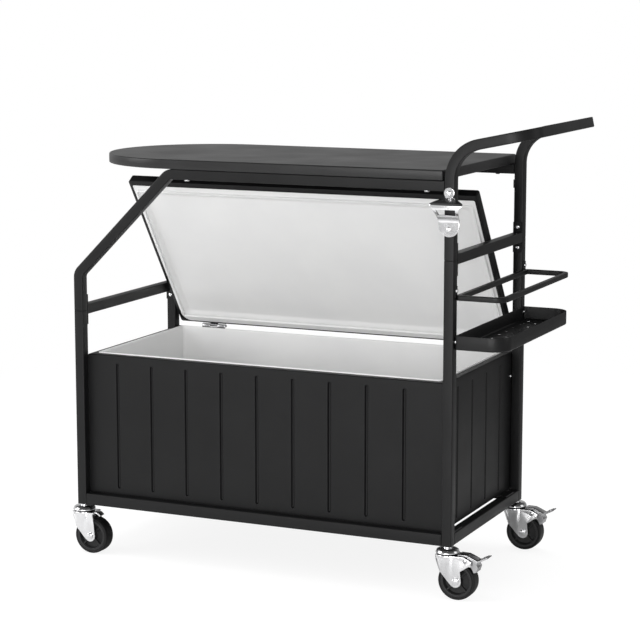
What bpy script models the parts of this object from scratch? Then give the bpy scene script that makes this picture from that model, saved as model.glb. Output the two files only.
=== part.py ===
"""Rolling patio cooler: a square-tube cart that carries an insulated tub with a hinged lid.

Lengths are metres and +Z is up. Pieces are placed from the bottom outer corner of the front left
leg: +X runs along the cart to the push handle and +Y runs to the hinge side. One empty moves that
corner, so that the origin of the world lies on the floor under the middle of the whole cart.
"""

import math

import bmesh
import bpy
from mathutils import Matrix, Vector

# Clearances and overruns
GAP = 0.0003
OVERRUN = 0.002
SMOOTH_ANGLE = math.radians(40)

# Cart frame
FRAME_LENGTH = 0.880
FRAME_DEPTH = 0.4426
CASTER_HEIGHT = 0.1085
TUBE = 0.0215
TUBE_WALL = 0.0012
TUBE_CORNER = 0.0018
TUBE_CORNER_STEPS = 1
BEND_FACET = math.radians(16)
BOTTOM_RAIL_HEIGHT = 0.025
LEFT_SEAM = 0.431
RIGHT_SEAM = 0.5875
CROSSBAR_RISE = 0.0016
CROSSBAR_PLATE = 0.002
CROSSBAR_PLATE_HEIGHT = 0.066

# Upper frames and push handle
TOP_RAIL_TOP = 0.7478
SLANT_FOOT = 0.5178
SLANT_ANGLE = math.radians(45)
SLANT_BEND = 0.0203
HANDLE_OVERHANG = 0.165
HANDLE_TILT = math.radians(12)
HANDLE_BEND_START = 0.7506
HANDLE_BEND = 0.0725
HANDLE_CORNER = 0.050

# Table top
TOP_THICKNESS = 0.0207
TOP_RIGHT_SETBACK = 0.0255
TOP_EDGE = 0.003
TOP_ROUND_STEPS = 26

# Cooler body
BODY_FRONT = 0.0188
BODY_REAR_SETBACK = 0.0026
BODY_BOTTOM = 0.028
BODY_TOP = 0.335
SHEET = 0.001
PANEL_EDGE = 0.003
PANEL_EDGE_STEPS = 3
HEM_WIDTH = 0.0175
GROOVE_DEPTH = 0.0045
GROOVE_WIDTH = 0.0075
GROOVE_FLOOR = 0.004
GROOVE_FOOT = 0.010
GROOVE_HEAD = 0.017
LONG_PANEL_FIRST_GROOVE = 0.0732
LONG_PANEL_PITCH = 0.0841
SIDE_PANEL_FIRST_GROOVE = 0.070
SIDE_PANEL_PITCH = 0.0859
PAN_FLANGE = 0.008
SUPPORT_BAR_THICKNESS = 0.0024
SUPPORT_BAR_WIDTH = 0.047
SUPPORT_BAR_LIP = 0.004
SUPPORT_BAR_REAR_SETBACK = 0.0966
SUPPORT_BAR_END_SETBACK = 0.0025

# Tub and insulation
TUB_WALL = 0.0025
TUB_INSET = 0.0215
TUB_DRAFT = 0.004
TUB_CORNER = 0.007
TUB_FLOOR_EDGE = 0.004
TUB_CORNER_STEPS = 4
FLANGE_INSET = 0.0155
FLANGE_CORNER = 0.006
FLOOR_FOAM = 0.025

# Lid
LID_SIDE_SETBACK = 0.026
LID_FRONT = 0.010
LID_THICKNESS = 0.022
LID_UNDERSIDE = 0.3424
LID_OPEN_ANGLE = math.radians(55.2)
LID_EDGE = 0.004
LID_CORNER = 0.005
LID_LIP_SIDE = 0.007
LID_LIP_FRONT = 0.013
LID_LIP_REAR = 0.0035
LID_LINER = 0.002
LID_LINER_FRONT_CORNER = 0.003
LID_LINER_REAR_CORNER = 0.022
LID_DISH_DEPTH = 0.006
LID_DISH_SLOPE = 0.014
LID_DISH_STEPS = 3
LID_DISH_CORNER = 0.012
GASKET_INSET = 0.017
GASKET_WIDTH = 0.004
GASKET_MARGIN = 0.001

# Hinges
HINGE_SETBACK = 0.0046
HINGE_DROP = 0.0025
HINGE_END_DISTANCE = 0.113
HINGE_LENGTH = 0.060
HINGE_BARREL = 0.0035
HINGE_PIN = 0.0016
HINGE_BORE = 0.0017
HINGE_PIN_HEAD = 0.0026
HINGE_PIN_HEAD_LENGTH = 0.0012
HINGE_LEAF = 0.0015
HINGE_LEAF_HEIGHT = 0.022
HINGE_STEPS = 12

# Drain
DRAIN_X = 0.120
DRAIN_BORE = 0.009
DRAIN_TUBE = 0.013
DRAIN_FLANGE = 0.020
DRAIN_FLANGE_THICKNESS = 0.0018
DRAIN_FOOT = 0.009
DRAIN_CAP = 0.0175
DRAIN_CAP_BOTTOM = 0.004
DRAIN_CAP_TOP = 0.024
DRAIN_STEPS = 20

# Casters
STEM_RADIUS = 0.006
STEM_LENGTH = 0.025
STEM_SHOULDER = 0.012
STEM_SHOULDER_FOOT = 0.004
RACE_RADIUS = 0.025
RACE_SHOULDER = 0.021
RACE_CROWN = 0.008
RACE_WAIST = 0.012
RACE_FOOT = 0.0155
KINGPIN_RADIUS = 0.0056
KINGPIN_HEAD = 0.009
KINGPIN_HEAD_THICKNESS = 0.0026
CASTER_STEPS = 20
FORK_PLATE = 0.0025
FORK_CROWN = 0.004
FORK_INNER_HALF = 0.0172
FORK_DISC = 0.0235
FORK_NOSE = 0.022
FORK_NOSE_FOOT = 0.014
FORK_NOSE_HEIGHT = 0.046
FORK_TIP = 0.012
FORK_TIP_STEPS = 6
FORK_BACK = 0.010
FORK_TAIL = 0.030
FORK_NOTCH_HEIGHT = 0.046
EAR_ROOT = 0.040
EAR_REACH = 0.057
EAR_TOP = 0.024
EAR_FOOT = 0.034
EAR_FOOT_INNER = 0.052
TAIL_TAB_REACH = 0.044
TAIL_TAB_DROP = 0.006
TAIL_TAB_HALF_WIDTH = 0.009
AXLE_TRAIL = 0.024
AXLE_DROP = 0.0685
AXLE_RADIUS = 0.004
AXLE_HEAD = 0.0068
AXLE_HEAD_THICKNESS = 0.004
AXLE_STEPS = 12
BORE_GAP = 0.0004

# Wheels
WHEEL_RADIUS = 0.040
WHEEL_STEPS = 24
TREAD_HALF_WIDTH = 0.015
TREAD_SHOULDER = 0.0372
TREAD_CROWN_HALF = 0.009
RIM_RADIUS = 0.0315
RIM_LIP_HALF = 0.0145
WEB_OUTER_RADIUS = 0.0265
WEB_HALF_WIDTH = 0.006
HUB_RADIUS = 0.0105
HUB_HALF_WIDTH = 0.0165

# Brake pedals
BRAKE_PIVOT_REACH = 0.044
BRAKE_PIVOT_DROP = 0.024
BRAKE_PIN = 0.0025
BRAKE_PIN_HEAD = 0.0042
BRAKE_PIN_HEAD_THICKNESS = 0.0015
PEDAL_HALF_WIDTH = 0.013
PEDAL_START = 0.0268
PEDAL_TOP = 0.0125
PEDAL_KNEE_REACH = 0.068
PEDAL_KNEE_DROP = 0.0225
PEDAL_TIP_REACH = 0.0895
PEDAL_PLATE = 0.003
PEDAL_BOSS = 0.0045
PEDAL_ROOT_GAP = 0.0015
SHOE_GAP = 0.0029
SHOE_REACH = 0.071
SHOE_TOP_DROP = 0.036
SHOE_FOOT_DROP = 0.0470
SHOE_LOW_ANGLE = math.radians(29)
SHOE_HIGH_ANGLE = math.radians(41)
SHOE_STEPS = 3

# Bottle opener
OPENER_PLATE = 0.0022
OPENER_FOOT_CENTRE = 0.658
OPENER_FOOT_RADIUS = 0.022
OPENER_FOLD = 0.670
OPENER_FOLD_HALF = 0.0218
OPENER_SILL = 0.681
OPENER_SILL_OUT = 0.010
OPENER_SILL_HALF = 0.0235
OPENER_LIP_FOOT = 0.692
OPENER_LIP_FOOT_HALF = 0.0270
OPENER_LIP_TOP = 0.7015
OPENER_LIP_OUT = 0.0215
OPENER_WING_HALF = 0.0347
OPENER_BROW = 0.7075
OPENER_BROW_OUT = 0.012
OPENER_BROW_HALF = 0.0210
OPENER_NECK = 0.7135
OPENER_NECK_HALF = 0.0085
OPENER_LOBE_CENTRE = 0.7237
OPENER_LOBE_RADIUS = 0.0108
OPENER_STRUT = 0.0045
OPENER_ROUND_STEPS = 4
OPENER_BLUNT = math.radians(82)
OPENER_SCREW_HEAD = 0.0042
OPENER_SCREW_HEAD_HEIGHT = 0.0018
OPENER_SCREW_SHANK = 0.0018
OPENER_SCREWS = {"upper": 0.7237, "lower": 0.651}

# Accessory tray
TRAY_TOP = 0.436
TRAY_BOTTOM = 0.407
TRAY_WALL = 0.0012
TRAY_FRONT = 0.008
TRAY_REAR_SETBACK = 0.0066
TRAY_DEPTH = 0.108
TRAY_OUTER_CORNER = 0.039
TRAY_INNER_CORNER = 0.004
TRAY_FLOOR_EDGE = 0.003
TRAY_CORNER_STEPS = 5
TRAY_HOLE = 0.0042
TRAY_HOLE_STEPS = 8
TRAY_FIRST_ROW = 0.0215
TRAY_ROW_PITCH = 0.023
TRAY_FIRST_HOLE = 0.022
TRAY_HOLE_PITCH = 0.047
TRAY_HOLE_MARGIN = 0.003

# Wire rail
WIRE = 0.0105
WIRE_CORNER = 0.0012
WIRE_BOTTOM = 0.508
WIRE_DEPTH = 0.106
WIRE_BEND = 0.020
WIRE_TAB_WIDTH = 0.012
WIRE_TAB_TOP = 0.536
WIRE_TAB = 0.002

# Finishes: linear colour, roughness, metallic
BLACK_PAINT = ((0.030, 0.030, 0.031), 0.42, 0.0)
BLACK_TOP = ((0.026, 0.026, 0.027), 0.35, 0.0)
PALE_PLASTIC = ((0.80, 0.80, 0.79), 0.40, 0.0)
PALE_FOAM = ((0.84, 0.79, 0.64), 0.90, 0.0)
PALE_SEAL = ((0.74, 0.74, 0.73), 0.60, 0.0)
BRIGHT_CHROME = ((0.80, 0.80, 0.82), 0.12, 1.0)
ZINC_STEEL = ((0.56, 0.56, 0.57), 0.30, 1.0)
BLACK_PLASTIC = ((0.022, 0.022, 0.023), 0.55, 0.0)
WHEEL_BLACK = ((0.018, 0.018, 0.019), 0.62, 0.0)

# Places worked out from the sizes above
HALF_TUBE = TUBE / 2
LEG_FAR_X = FRAME_LENGTH - TUBE
LEG_FAR_Y = FRAME_DEPTH - TUBE
LEG_CENTRES_X = {"left": HALF_TUBE, "right": FRAME_LENGTH - HALF_TUBE}
LEG_CENTRES_Y = {"front": HALF_TUBE, "rear": FRAME_DEPTH - HALF_TUBE}
SEAMS = {"left": LEFT_SEAM, "right": RIGHT_SEAM}
TOP_RAIL_CENTRE = TOP_RAIL_TOP - HALF_TUBE
TOP_RIGHT_END = FRAME_LENGTH - TOP_RIGHT_SETBACK
HANDLE_REACH = FRAME_LENGTH + HANDLE_OVERHANG
BODY_LEFT = TUBE + GAP
BODY_RIGHT = LEG_FAR_X - GAP
BODY_REAR = FRAME_DEPTH - BODY_REAR_SETBACK
BODY_LENGTH = BODY_RIGHT - BODY_LEFT
BODY_DEPTH = BODY_REAR - BODY_FRONT
BODY_HEIGHT = BODY_TOP - BODY_BOTTOM
FLANGE_UNDERSIDE = BODY_TOP + GAP
FLANGE_TOP = FLANGE_UNDERSIDE + TUB_WALL
PAN_FLOOR_TOP = BODY_BOTTOM + SHEET
FOAM_BOTTOM = PAN_FLOOR_TOP + GAP
FOAM_TOP = BODY_TOP - SHEET - GAP
FOAM_CAVITY_FLOOR = FOAM_BOTTOM + FLOOR_FOAM
TUB_UNDERSIDE = FOAM_CAVITY_FLOOR + GAP
TUB_FLOOR = TUB_UNDERSIDE + TUB_WALL
SUPPORT_BAR_FRONT = TUBE + GAP
SUPPORT_BAR_REAR = FRAME_DEPTH - SUPPORT_BAR_REAR_SETBACK
DRAIN_Y = (BODY_FRONT + BODY_REAR) / 2
LID_LEFT = LID_SIDE_SETBACK
LID_RIGHT = FRAME_LENGTH - LID_SIDE_SETBACK
LID_REAR = BODY_REAR
HINGE_Y = LID_REAR + HINGE_SETBACK
HINGE_Z = LID_UNDERSIDE - HINGE_DROP
HINGE_CENTRES = {"left": HINGE_END_DISTANCE, "right": FRAME_LENGTH - HINGE_END_DISTANCE}
FORK_CROWN_TOP = RACE_FOOT + GAP
FORK_CROWN_FOOT = FORK_CROWN_TOP + FORK_CROWN
FORK_OUTER_HALF = FORK_INNER_HALF + FORK_PLATE
SHOE_RADIUS = WHEEL_RADIUS + SHOE_GAP
OPENER_REACH = OPENER_LIP_OUT + OPENER_PLATE + GAP
TRAY_REACH = FRAME_LENGTH + TRAY_DEPTH
TRAY_REAR = FRAME_DEPTH - TRAY_REAR_SETBACK
WIRE_REACH = FRAME_LENGTH + WIRE_DEPTH

# The races, the handle, the opener and the open lid's hinge leaves bound the cart
LEAF_FACE = GAP + HINGE_LEAF - HINGE_SETBACK
CART_REAR = HINGE_Y + LEAF_FACE * math.cos(LID_OPEN_ANGLE) + HINGE_LEAF_HEIGHT * math.sin(LID_OPEN_ANGLE)
CART_LEFT = HALF_TUBE - RACE_RADIUS
CART_FRONT = -OPENER_REACH
CENTRE_X = (CART_LEFT + HANDLE_REACH) / 2
CENTRE_Y = (CART_FRONT + CART_REAR) / 2


def clear_scene():
    """Removes whatever objects the file already holds."""
    for thing in list(bpy.data.objects):
        bpy.data.objects.remove(thing, do_unlink=True)


def empty(name, parent, location, rotation=(0, 0, 0)):
    """An axis or a datum that pieces hang from."""
    axis = bpy.data.objects.new(name, None)
    bpy.context.scene.collection.objects.link(axis)
    axis.parent = parent
    axis.location = location
    axis.rotation_euler = rotation
    return axis


def material(name, colour, roughness, metallic):
    """A piece's own Principled finish."""
    made = bpy.data.materials.new(name)
    made.use_nodes = True
    shader = made.node_tree.nodes["Principled BSDF"]
    shader.inputs["Base Color"].default_value = (*colour, 1.0)
    shader.inputs["Roughness"].default_value = roughness
    shader.inputs["Metallic"].default_value = metallic
    return made


def piece(name, bm, finish, parent, location=(0, 0, 0), rotation=(0, 0, 0), smooth=True):
    """Turns a bmesh into a named object with its own material."""
    bmesh.ops.recalc_face_normals(bm, faces=bm.faces)
    mesh = bpy.data.meshes.new(name)
    bm.to_mesh(mesh)
    bm.free()
    mesh.materials.append(material(name, *finish))
    if smooth:
        mesh.shade_smooth()
        mesh.set_sharp_from_angle(angle=SMOOTH_ANGLE)
    made = bpy.data.objects.new(name, mesh)
    bpy.context.scene.collection.objects.link(made)
    made.parent = parent
    made.location = location
    made.rotation_euler = rotation
    return made


def combine(target, bm, operation):
    """Joins or cuts a piece with another shape that is drawn in the piece's own axes."""
    name = f"{target.name}_{operation.lower()}_{len(target.modifiers)}"
    tool = piece(name, bm, BLACK_PLASTIC, target, smooth=False)
    tool.hide_render = True
    tool.display_type = 'WIRE'
    modifier = target.modifiers.new(name, 'BOOLEAN')
    modifier.operation = operation
    modifier.solver = 'EXACT'
    modifier.object = tool


def loft(bm, rings, closed=False):
    """Skins rings of equal count; the first and last are capped unless the loft is closed."""
    rows = [[bm.verts.new(point) for point in ring] for ring in rings]
    pairs = list(zip(rows, rows[1:]))
    if closed:
        pairs.append((rows[-1], rows[0]))
    for low, high in pairs:
        for index, vertex in enumerate(low):
            after = (index + 1) % len(low)
            bm.faces.new((vertex, low[after], high[after], high[index]))
    if not closed:
        bm.faces.new(rows[0])
        bm.faces.new(rows[-1])
    return bm


def box(bm, low, high):
    """A block between two opposite corners."""
    corners = ((low[0], low[1]), (high[0], low[1]), (high[0], high[1]), (low[0], high[1]))
    return loft(bm, [[(x, y, z) for x, y in corners] for z in (low[2], high[2])])


def rounded_rectangle(low, high, radii, steps):
    """An outline whose corner radii start at the low corner and go round anticlockwise."""
    corners = (
        (low[0], low[1], 1, 1),
        (high[0], low[1], -1, 1),
        (high[0], high[1], -1, -1),
        (low[0], high[1], 1, -1),
    )
    points = []
    for quarter, ((x, y, inward_x, inward_y), radius) in enumerate(zip(corners, radii)):
        for step in range(steps + 1):
            angle = math.pi * (1 + quarter / 2 + step / steps / 2)
            along = x + radius * (inward_x + math.cos(angle))
            across = y + radius * (inward_y + math.sin(angle))
            points.append((along, across))
    return points


def circle(radius, steps):
    """Points round the origin."""
    turns = [2 * math.pi * step / steps for step in range(steps)]
    return [(radius * math.cos(turn), radius * math.sin(turn)) for turn in turns]


def turned(bm, profile, steps, closed=False, to_world=Matrix.Identity(4)):
    """Turns a profile of radius and height about Z, then moves it with to_world."""
    rings = []
    for radius, height in profile:
        rings.append([to_world @ Vector((x, y, height)) for x, y in circle(radius, steps)])
    return loft(bm, rings, closed)


def along_x(x, y, z):
    """Lays a turned shape along +X from a point."""
    return Matrix.Translation((x, y, z)) @ Matrix.Rotation(math.pi / 2, 4, 'Y')


def along_y(x, y, z):
    """Lays a turned shape along +Y from a point."""
    return Matrix.Translation((x, y, z)) @ Matrix.Rotation(-math.pi / 2, 4, 'X')


def prism_y(bm, outline, low, high):
    """Extrudes an outline of X and Z between two values of Y."""
    return loft(bm, [[(x, y, z) for x, z in outline] for y in (low, high)])


def bent_path(corners, radii, closed=False):
    """Places and directions along straight runs that arcs join at the inner corners."""
    points = [Vector(corner) for corner in corners]
    last = len(points) - 1
    stations = []
    for index, (point, radius) in enumerate(zip(points, radii)):
        if not closed and index == 0:
            stations.append((point, (points[1] - point).normalized()))
            continue
        if not closed and index == last:
            stations.append((point, (point - points[index - 1]).normalized()))
            continue
        incoming = (point - points[index - 1]).normalized()
        outgoing = (points[(index + 1) % len(points)] - point).normalized()
        turn = incoming.angle(outgoing)
        start = point - incoming * radius * math.tan(turn / 2)
        axis = incoming.cross(outgoing).normalized()
        centre = start + axis.cross(incoming) * radius
        steps = round(turn / BEND_FACET)
        for step in range(steps + 1):
            rotation = Matrix.Rotation(turn * step / steps, 3, axis)
            stations.append((centre + rotation @ (start - centre), rotation @ incoming))
    return stations


def swept_rings(stations, outline, side):
    """Copies of an outline along a path; side is the outline's first axis at the start."""
    across = Vector(side)
    before = stations[0][1]
    rings = []
    for point, tangent in stations:
        across = before.rotation_difference(tangent) @ across
        before = tangent
        other = tangent.cross(across)
        rings.append([point + across * u + other * v for u, v in outline])
    return rings


def tube_outline(width, height, inset):
    """The outside of a tube, or its bore where the inset is the wall."""
    half_width = width / 2 - inset
    half_height = height / 2 - inset
    radii = [TUBE_CORNER - inset] * 4
    low = (-half_width, -half_height)
    return rounded_rectangle(low, (half_width, half_height), radii, TUBE_CORNER_STEPS)


def tube(name, corners, radii, side, parent, width=TUBE, height=TUBE):
    """An open-ended tube along a bent path."""
    stations = bent_path(corners, radii)
    outside = swept_rings(stations, tube_outline(width, height, 0), side)
    inside = swept_rings(stations, tube_outline(width, height, TUBE_WALL), side)
    return piece(name, loft(bmesh.new(), outside + inside[::-1], closed=True), BLACK_PAINT, parent)


def straight_tube(name, start, end, side, parent, width=TUBE, height=TUBE):
    """An open-ended tube between two points."""
    return tube(name, (start, end), (0, 0), side, parent, width, height)


def make_legs(cart):
    """Lower legs stand on the casters and end at the seams."""
    for across, y in LEG_CENTRES_Y.items():
        for side, x in LEG_CENTRES_X.items():
            name = f"lower_leg_{across}_{side}"
            straight_tube(name, (x, y, 0), (x, y, SEAMS[side]), (1, 0, 0), cart)


def make_bottom_rails(cart):
    """Four rails close the foot of the frame and carry the cooler body."""
    middle = BOTTOM_RAIL_HEIGHT / 2
    for across, y in LEG_CENTRES_Y.items():
        start = (TUBE + GAP, y, middle)
        end = (LEG_FAR_X - GAP, y, middle)
        straight_tube(f"bottom_rail_{across}", start, end, (0, 1, 0), cart, TUBE, BOTTOM_RAIL_HEIGHT)
    for side, x in LEG_CENTRES_X.items():
        start = (x, TUBE + GAP, middle)
        end = (x, LEG_FAR_Y - GAP, middle)
        straight_tube(f"bottom_rail_{side}", start, end, (1, 0, 0), cart, TUBE, BOTTOM_RAIL_HEIGHT)


def make_crossbars(cart):
    """Each crossbar ends in plates that bridge the seam between a leg and its upper tube."""
    for side, x in LEG_CENTRES_X.items():
        height = SEAMS[side] + CROSSBAR_RISE
        plates = (TUBE + GAP, LEG_FAR_Y - GAP - CROSSBAR_PLATE)
        outline = tube_outline(TUBE, TUBE, 0)
        bore = tube_outline(TUBE, TUBE, TUBE_WALL)
        ends = [plate + CROSSBAR_PLATE / 2 for plate in plates]
        bar_rings = [[(x + u, y, height + v) for u, v in outline] for y in ends]
        bar = piece(f"crossbar_{side}", loft(bmesh.new(), bar_rings), BLACK_PAINT, cart)
        for near in plates:
            low = (x - HALF_TUBE, near, height - CROSSBAR_PLATE_HEIGHT / 2)
            high = (x + HALF_TUBE, near + CROSSBAR_PLATE, height + CROSSBAR_PLATE_HEIGHT / 2)
            combine(bar, box(bmesh.new(), low, high), 'UNION')
        through = (TUBE - OVERRUN, LEG_FAR_Y + OVERRUN)
        bore_rings = [[(x + u, y, height + v) for u, v in bore] for y in through]
        combine(bar, loft(bmesh.new(), bore_rings), 'DIFFERENCE')


def make_upper_frames(cart):
    """Left uprights that slant inwards and run on as the rails under the table top."""
    slant_shift = HALF_TUBE / math.cos(SLANT_ANGLE)
    slope = math.tan(SLANT_ANGLE)
    slant_base = SLANT_FOOT - slant_shift
    foot_z = slant_base + HALF_TUBE * slope
    head_x = (TOP_RAIL_CENTRE - slant_base) / slope
    for across, y in LEG_CENTRES_Y.items():
        corners = (
            (HALF_TUBE, y, LEFT_SEAM + GAP),
            (HALF_TUBE, y, foot_z),
            (head_x, y, TOP_RAIL_CENTRE),
            (LEG_FAR_X - GAP, y, TOP_RAIL_CENTRE),
        )
        tube(f"upper_frame_{across}", corners, (0, SLANT_BEND, SLANT_BEND, 0), (0, 1, 0), cart)


def make_push_handle(cart):
    """Right uprights and handle are one tube bent four times."""
    near = LEG_CENTRES_Y["front"]
    far = LEG_CENTRES_Y["rear"]
    upright = LEG_CENTRES_X["right"]
    shoulder_z = HANDLE_BEND_START + HANDLE_BEND * math.tan((math.pi / 2 - HANDLE_TILT) / 2)
    end_half = HALF_TUBE * math.cos(HANDLE_TILT) + (HALF_TUBE - TUBE_CORNER) * math.sin(HANDLE_TILT)
    end_x = HANDLE_REACH - end_half
    end_z = shoulder_z + (end_x - upright) * math.tan(HANDLE_TILT)
    corners = (
        (upright, near, RIGHT_SEAM + GAP),
        (upright, near, shoulder_z),
        (end_x, near, end_z),
        (end_x, far, end_z),
        (upright, far, shoulder_z),
        (upright, far, RIGHT_SEAM + GAP),
    )
    radii = (0, HANDLE_BEND, HANDLE_CORNER, HANDLE_CORNER, HANDLE_BEND, 0)
    tube("push_handle", corners, radii, (0, 1, 0), cart)


def table_top_outline(inset):
    """A half round left end and a square right end."""
    radius = FRAME_DEPTH / 2 - inset
    centre = FRAME_DEPTH / 2
    points = [(TOP_RIGHT_END - inset, inset), (TOP_RIGHT_END - inset, FRAME_DEPTH - inset)]
    for step in range(TOP_ROUND_STEPS + 1):
        angle = math.pi * (0.5 + step / TOP_ROUND_STEPS)
        points.append((centre + radius * math.cos(angle), centre + radius * math.sin(angle)))
    return points


def make_table_top(cart):
    """A board that lies on the two top rails."""
    bottom = TOP_RAIL_TOP + GAP
    top = TOP_RAIL_TOP + TOP_THICKNESS
    inset_share = 1 - math.sin(math.pi / 4)
    levels = (
        (bottom, TOP_EDGE / 2),
        (bottom + TOP_EDGE / 2, 0),
        (top - TOP_EDGE, 0),
        (top - TOP_EDGE * inset_share, TOP_EDGE * inset_share),
        (top, TOP_EDGE),
    )
    rings = [[(x, y, z) for x, y in table_top_outline(inset)] for z, inset in levels]
    piece("tabletop", loft(bmesh.new(), rings), BLACK_TOP, cart)


def panel_profile():
    """Depth and height of a side sheet that is rolled over into a hem at its top."""
    outer = [(0, 0)]
    inner = [(SHEET, 0)]
    for step in range(PANEL_EDGE_STEPS + 1):
        angle = math.pi / 2 * step / PANEL_EDGE_STEPS
        reach = 1 - math.cos(angle)
        rise = math.sin(angle)
        bend = PANEL_EDGE - SHEET
        outer.append((PANEL_EDGE * reach, BODY_HEIGHT - PANEL_EDGE + PANEL_EDGE * rise))
        inner.append((SHEET + bend * reach, BODY_HEIGHT - PANEL_EDGE + bend * rise))
    outer.append((HEM_WIDTH, BODY_HEIGHT))
    inner.append((HEM_WIDTH, BODY_HEIGHT - SHEET))
    return outer + inner[::-1]


def groove_outline(x, half_width):
    """A pressed groove with round ends."""
    low = (x - half_width, GROOVE_FOOT + GROOVE_WIDTH / 2 - half_width)
    high = (x + half_width, BODY_HEIGHT - GROOVE_HEAD - GROOVE_WIDTH / 2 + half_width)
    return rounded_rectangle(low, high, [half_width] * 4, 2)


def groove_half_width(depth):
    """Half the width of a groove at a depth; its walls lean in towards the floor."""
    lean = (GROOVE_WIDTH - GROOVE_FLOOR) / 2 / GROOVE_DEPTH
    return GROOVE_WIDTH / 2 - lean * depth


def groove_solids(places, levels):
    """One tapered body for each groove; a level is a depth and a half width."""
    bm = bmesh.new()
    for x in places:
        loft(bm, [[(px, depth, pz) for px, pz in groove_outline(x, half)] for depth, half in levels])
    return bm


def make_panel(name, length, first, pitch, cart, location, turn):
    """A grooved sheet with mitred ends, drawn with its outer face on Y zero."""
    slit = GAP * math.sqrt(0.5)
    rings = []
    for end, direction in ((0, 1), (length, -1)):
        outline = panel_profile()
        rings.append([(end + direction * (depth + slit), depth, height) for depth, height in outline])
    panel = piece(name, loft(bmesh.new(), rings), BLACK_PAINT, cart, location, (0, 0, turn), smooth=False)
    count = round((length - 2 * first) / pitch) + 1
    places = [first + pitch * index for index in range(count)]
    floor = GROOVE_DEPTH + SHEET
    ribs = ((SHEET / 2, groove_half_width(0) + SHEET), (floor, GROOVE_FLOOR / 2 + SHEET / 2))
    combine(panel, groove_solids(places, ribs), 'UNION')
    cuts = ((-OVERRUN, groove_half_width(-OVERRUN)), (GROOVE_DEPTH, groove_half_width(GROOVE_DEPTH)))
    combine(panel, groove_solids(places, cuts), 'DIFFERENCE')


def make_body_panels(cart):
    """The four grooved sheets of the cooler body."""
    quarter = math.pi / 2
    long_grooves = (LONG_PANEL_FIRST_GROOVE, LONG_PANEL_PITCH)
    side_grooves = (SIDE_PANEL_FIRST_GROOVE, SIDE_PANEL_PITCH)
    front_left = (BODY_LEFT, BODY_FRONT, BODY_BOTTOM)
    front_right = (BODY_RIGHT, BODY_FRONT, BODY_BOTTOM)
    rear_right = (BODY_RIGHT, BODY_REAR, BODY_BOTTOM)
    rear_left = (BODY_LEFT, BODY_REAR, BODY_BOTTOM)
    make_panel("body_panel_front", BODY_LENGTH, *long_grooves, cart, front_left, 0)
    make_panel("body_panel_right", BODY_DEPTH, *side_grooves, cart, front_right, quarter)
    make_panel("body_panel_rear", BODY_LENGTH, *long_grooves, cart, rear_right, 2 * quarter)
    make_panel("body_panel_left", BODY_DEPTH, *side_grooves, cart, rear_left, 3 * quarter)


def body_ring(inset, radius, height):
    """A level outline set in from the cooler body's outer faces."""
    low = (BODY_LEFT + inset, BODY_FRONT + inset)
    high = (BODY_RIGHT - inset, BODY_REAR - inset)
    outline = rounded_rectangle(low, high, [radius] * 4, TUB_CORNER_STEPS)
    return [(x, y, height) for x, y in outline]


def tub_rings(offset, floor, rim):
    """The tub's walls from the floor up to the rim, moved out from its inner face by an offset."""
    edge = TUB_FLOOR_EDGE + offset
    rings = []
    for share_angle in (0, math.pi / 4, math.pi / 2):
        sink = edge * (1 - math.sin(share_angle))
        inset = TUB_INSET + TUB_DRAFT - offset + sink
        height = floor + edge * (1 - math.cos(share_angle))
        rings.append(body_ring(inset, TUB_CORNER + offset - sink, height))
    rings.append(body_ring(TUB_INSET - offset, TUB_CORNER + offset, rim))
    return rings


def drain_cut(target, radius):
    """Lets the drain tube through the floor of a piece."""
    profile = ((radius, -OVERRUN), (radius, BODY_TOP))
    moved = Matrix.Translation((DRAIN_X, DRAIN_Y, 0))
    combine(target, turned(bmesh.new(), profile, DRAIN_STEPS, to_world=moved), 'DIFFERENCE')


def make_tub(cart):
    """Floor pan, insulation and liner, from the outside inwards."""
    hole = DRAIN_TUBE + GAP
    pan_inset = SHEET + GAP
    pan_corner = SHEET + GAP
    pan_rings = (
        body_ring(pan_inset, pan_corner, BODY_BOTTOM),
        body_ring(pan_inset, pan_corner, BODY_BOTTOM + PAN_FLANGE),
        body_ring(pan_inset + SHEET, GAP, BODY_BOTTOM + PAN_FLANGE),
        body_ring(pan_inset + SHEET, GAP, PAN_FLOOR_TOP),
    )
    pan = piece("body_bottom_pan", loft(bmesh.new(), pan_rings), BLACK_PAINT, cart, smooth=False)
    drain_cut(pan, hole)

    foam_inset = SHEET + GROOVE_DEPTH + GAP
    foam_rings = [body_ring(foam_inset, SHEET, FOAM_BOTTOM), body_ring(foam_inset, SHEET, FOAM_TOP)]
    foam_rings += tub_rings(TUB_WALL + GAP, FOAM_CAVITY_FLOOR, FOAM_TOP)[::-1]
    foam = piece("insulation_foam", loft(bmesh.new(), foam_rings), PALE_FOAM, cart, smooth=False)
    drain_cut(foam, hole)

    liner_rings = tub_rings(TUB_WALL, TUB_UNDERSIDE, FLANGE_UNDERSIDE)
    liner_rings.append(body_ring(FLANGE_INSET, FLANGE_CORNER, FLANGE_UNDERSIDE))
    liner_rings.append(body_ring(FLANGE_INSET, FLANGE_CORNER, FLANGE_TOP - TUB_WALL / 3))
    liner_rings.append(body_ring(FLANGE_INSET + TUB_WALL / 3, FLANGE_CORNER, FLANGE_TOP))
    liner_rings.append(body_ring(TUB_INSET - TUB_WALL / 2, TUB_CORNER + TUB_WALL / 2, FLANGE_TOP))
    liner_rings += tub_rings(0, TUB_FLOOR, FLANGE_TOP - TUB_WALL / 2)[::-1]
    liner = piece("liner_tub", loft(bmesh.new(), liner_rings), PALE_PLASTIC, cart)
    drain_cut(liner, hole)


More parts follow.
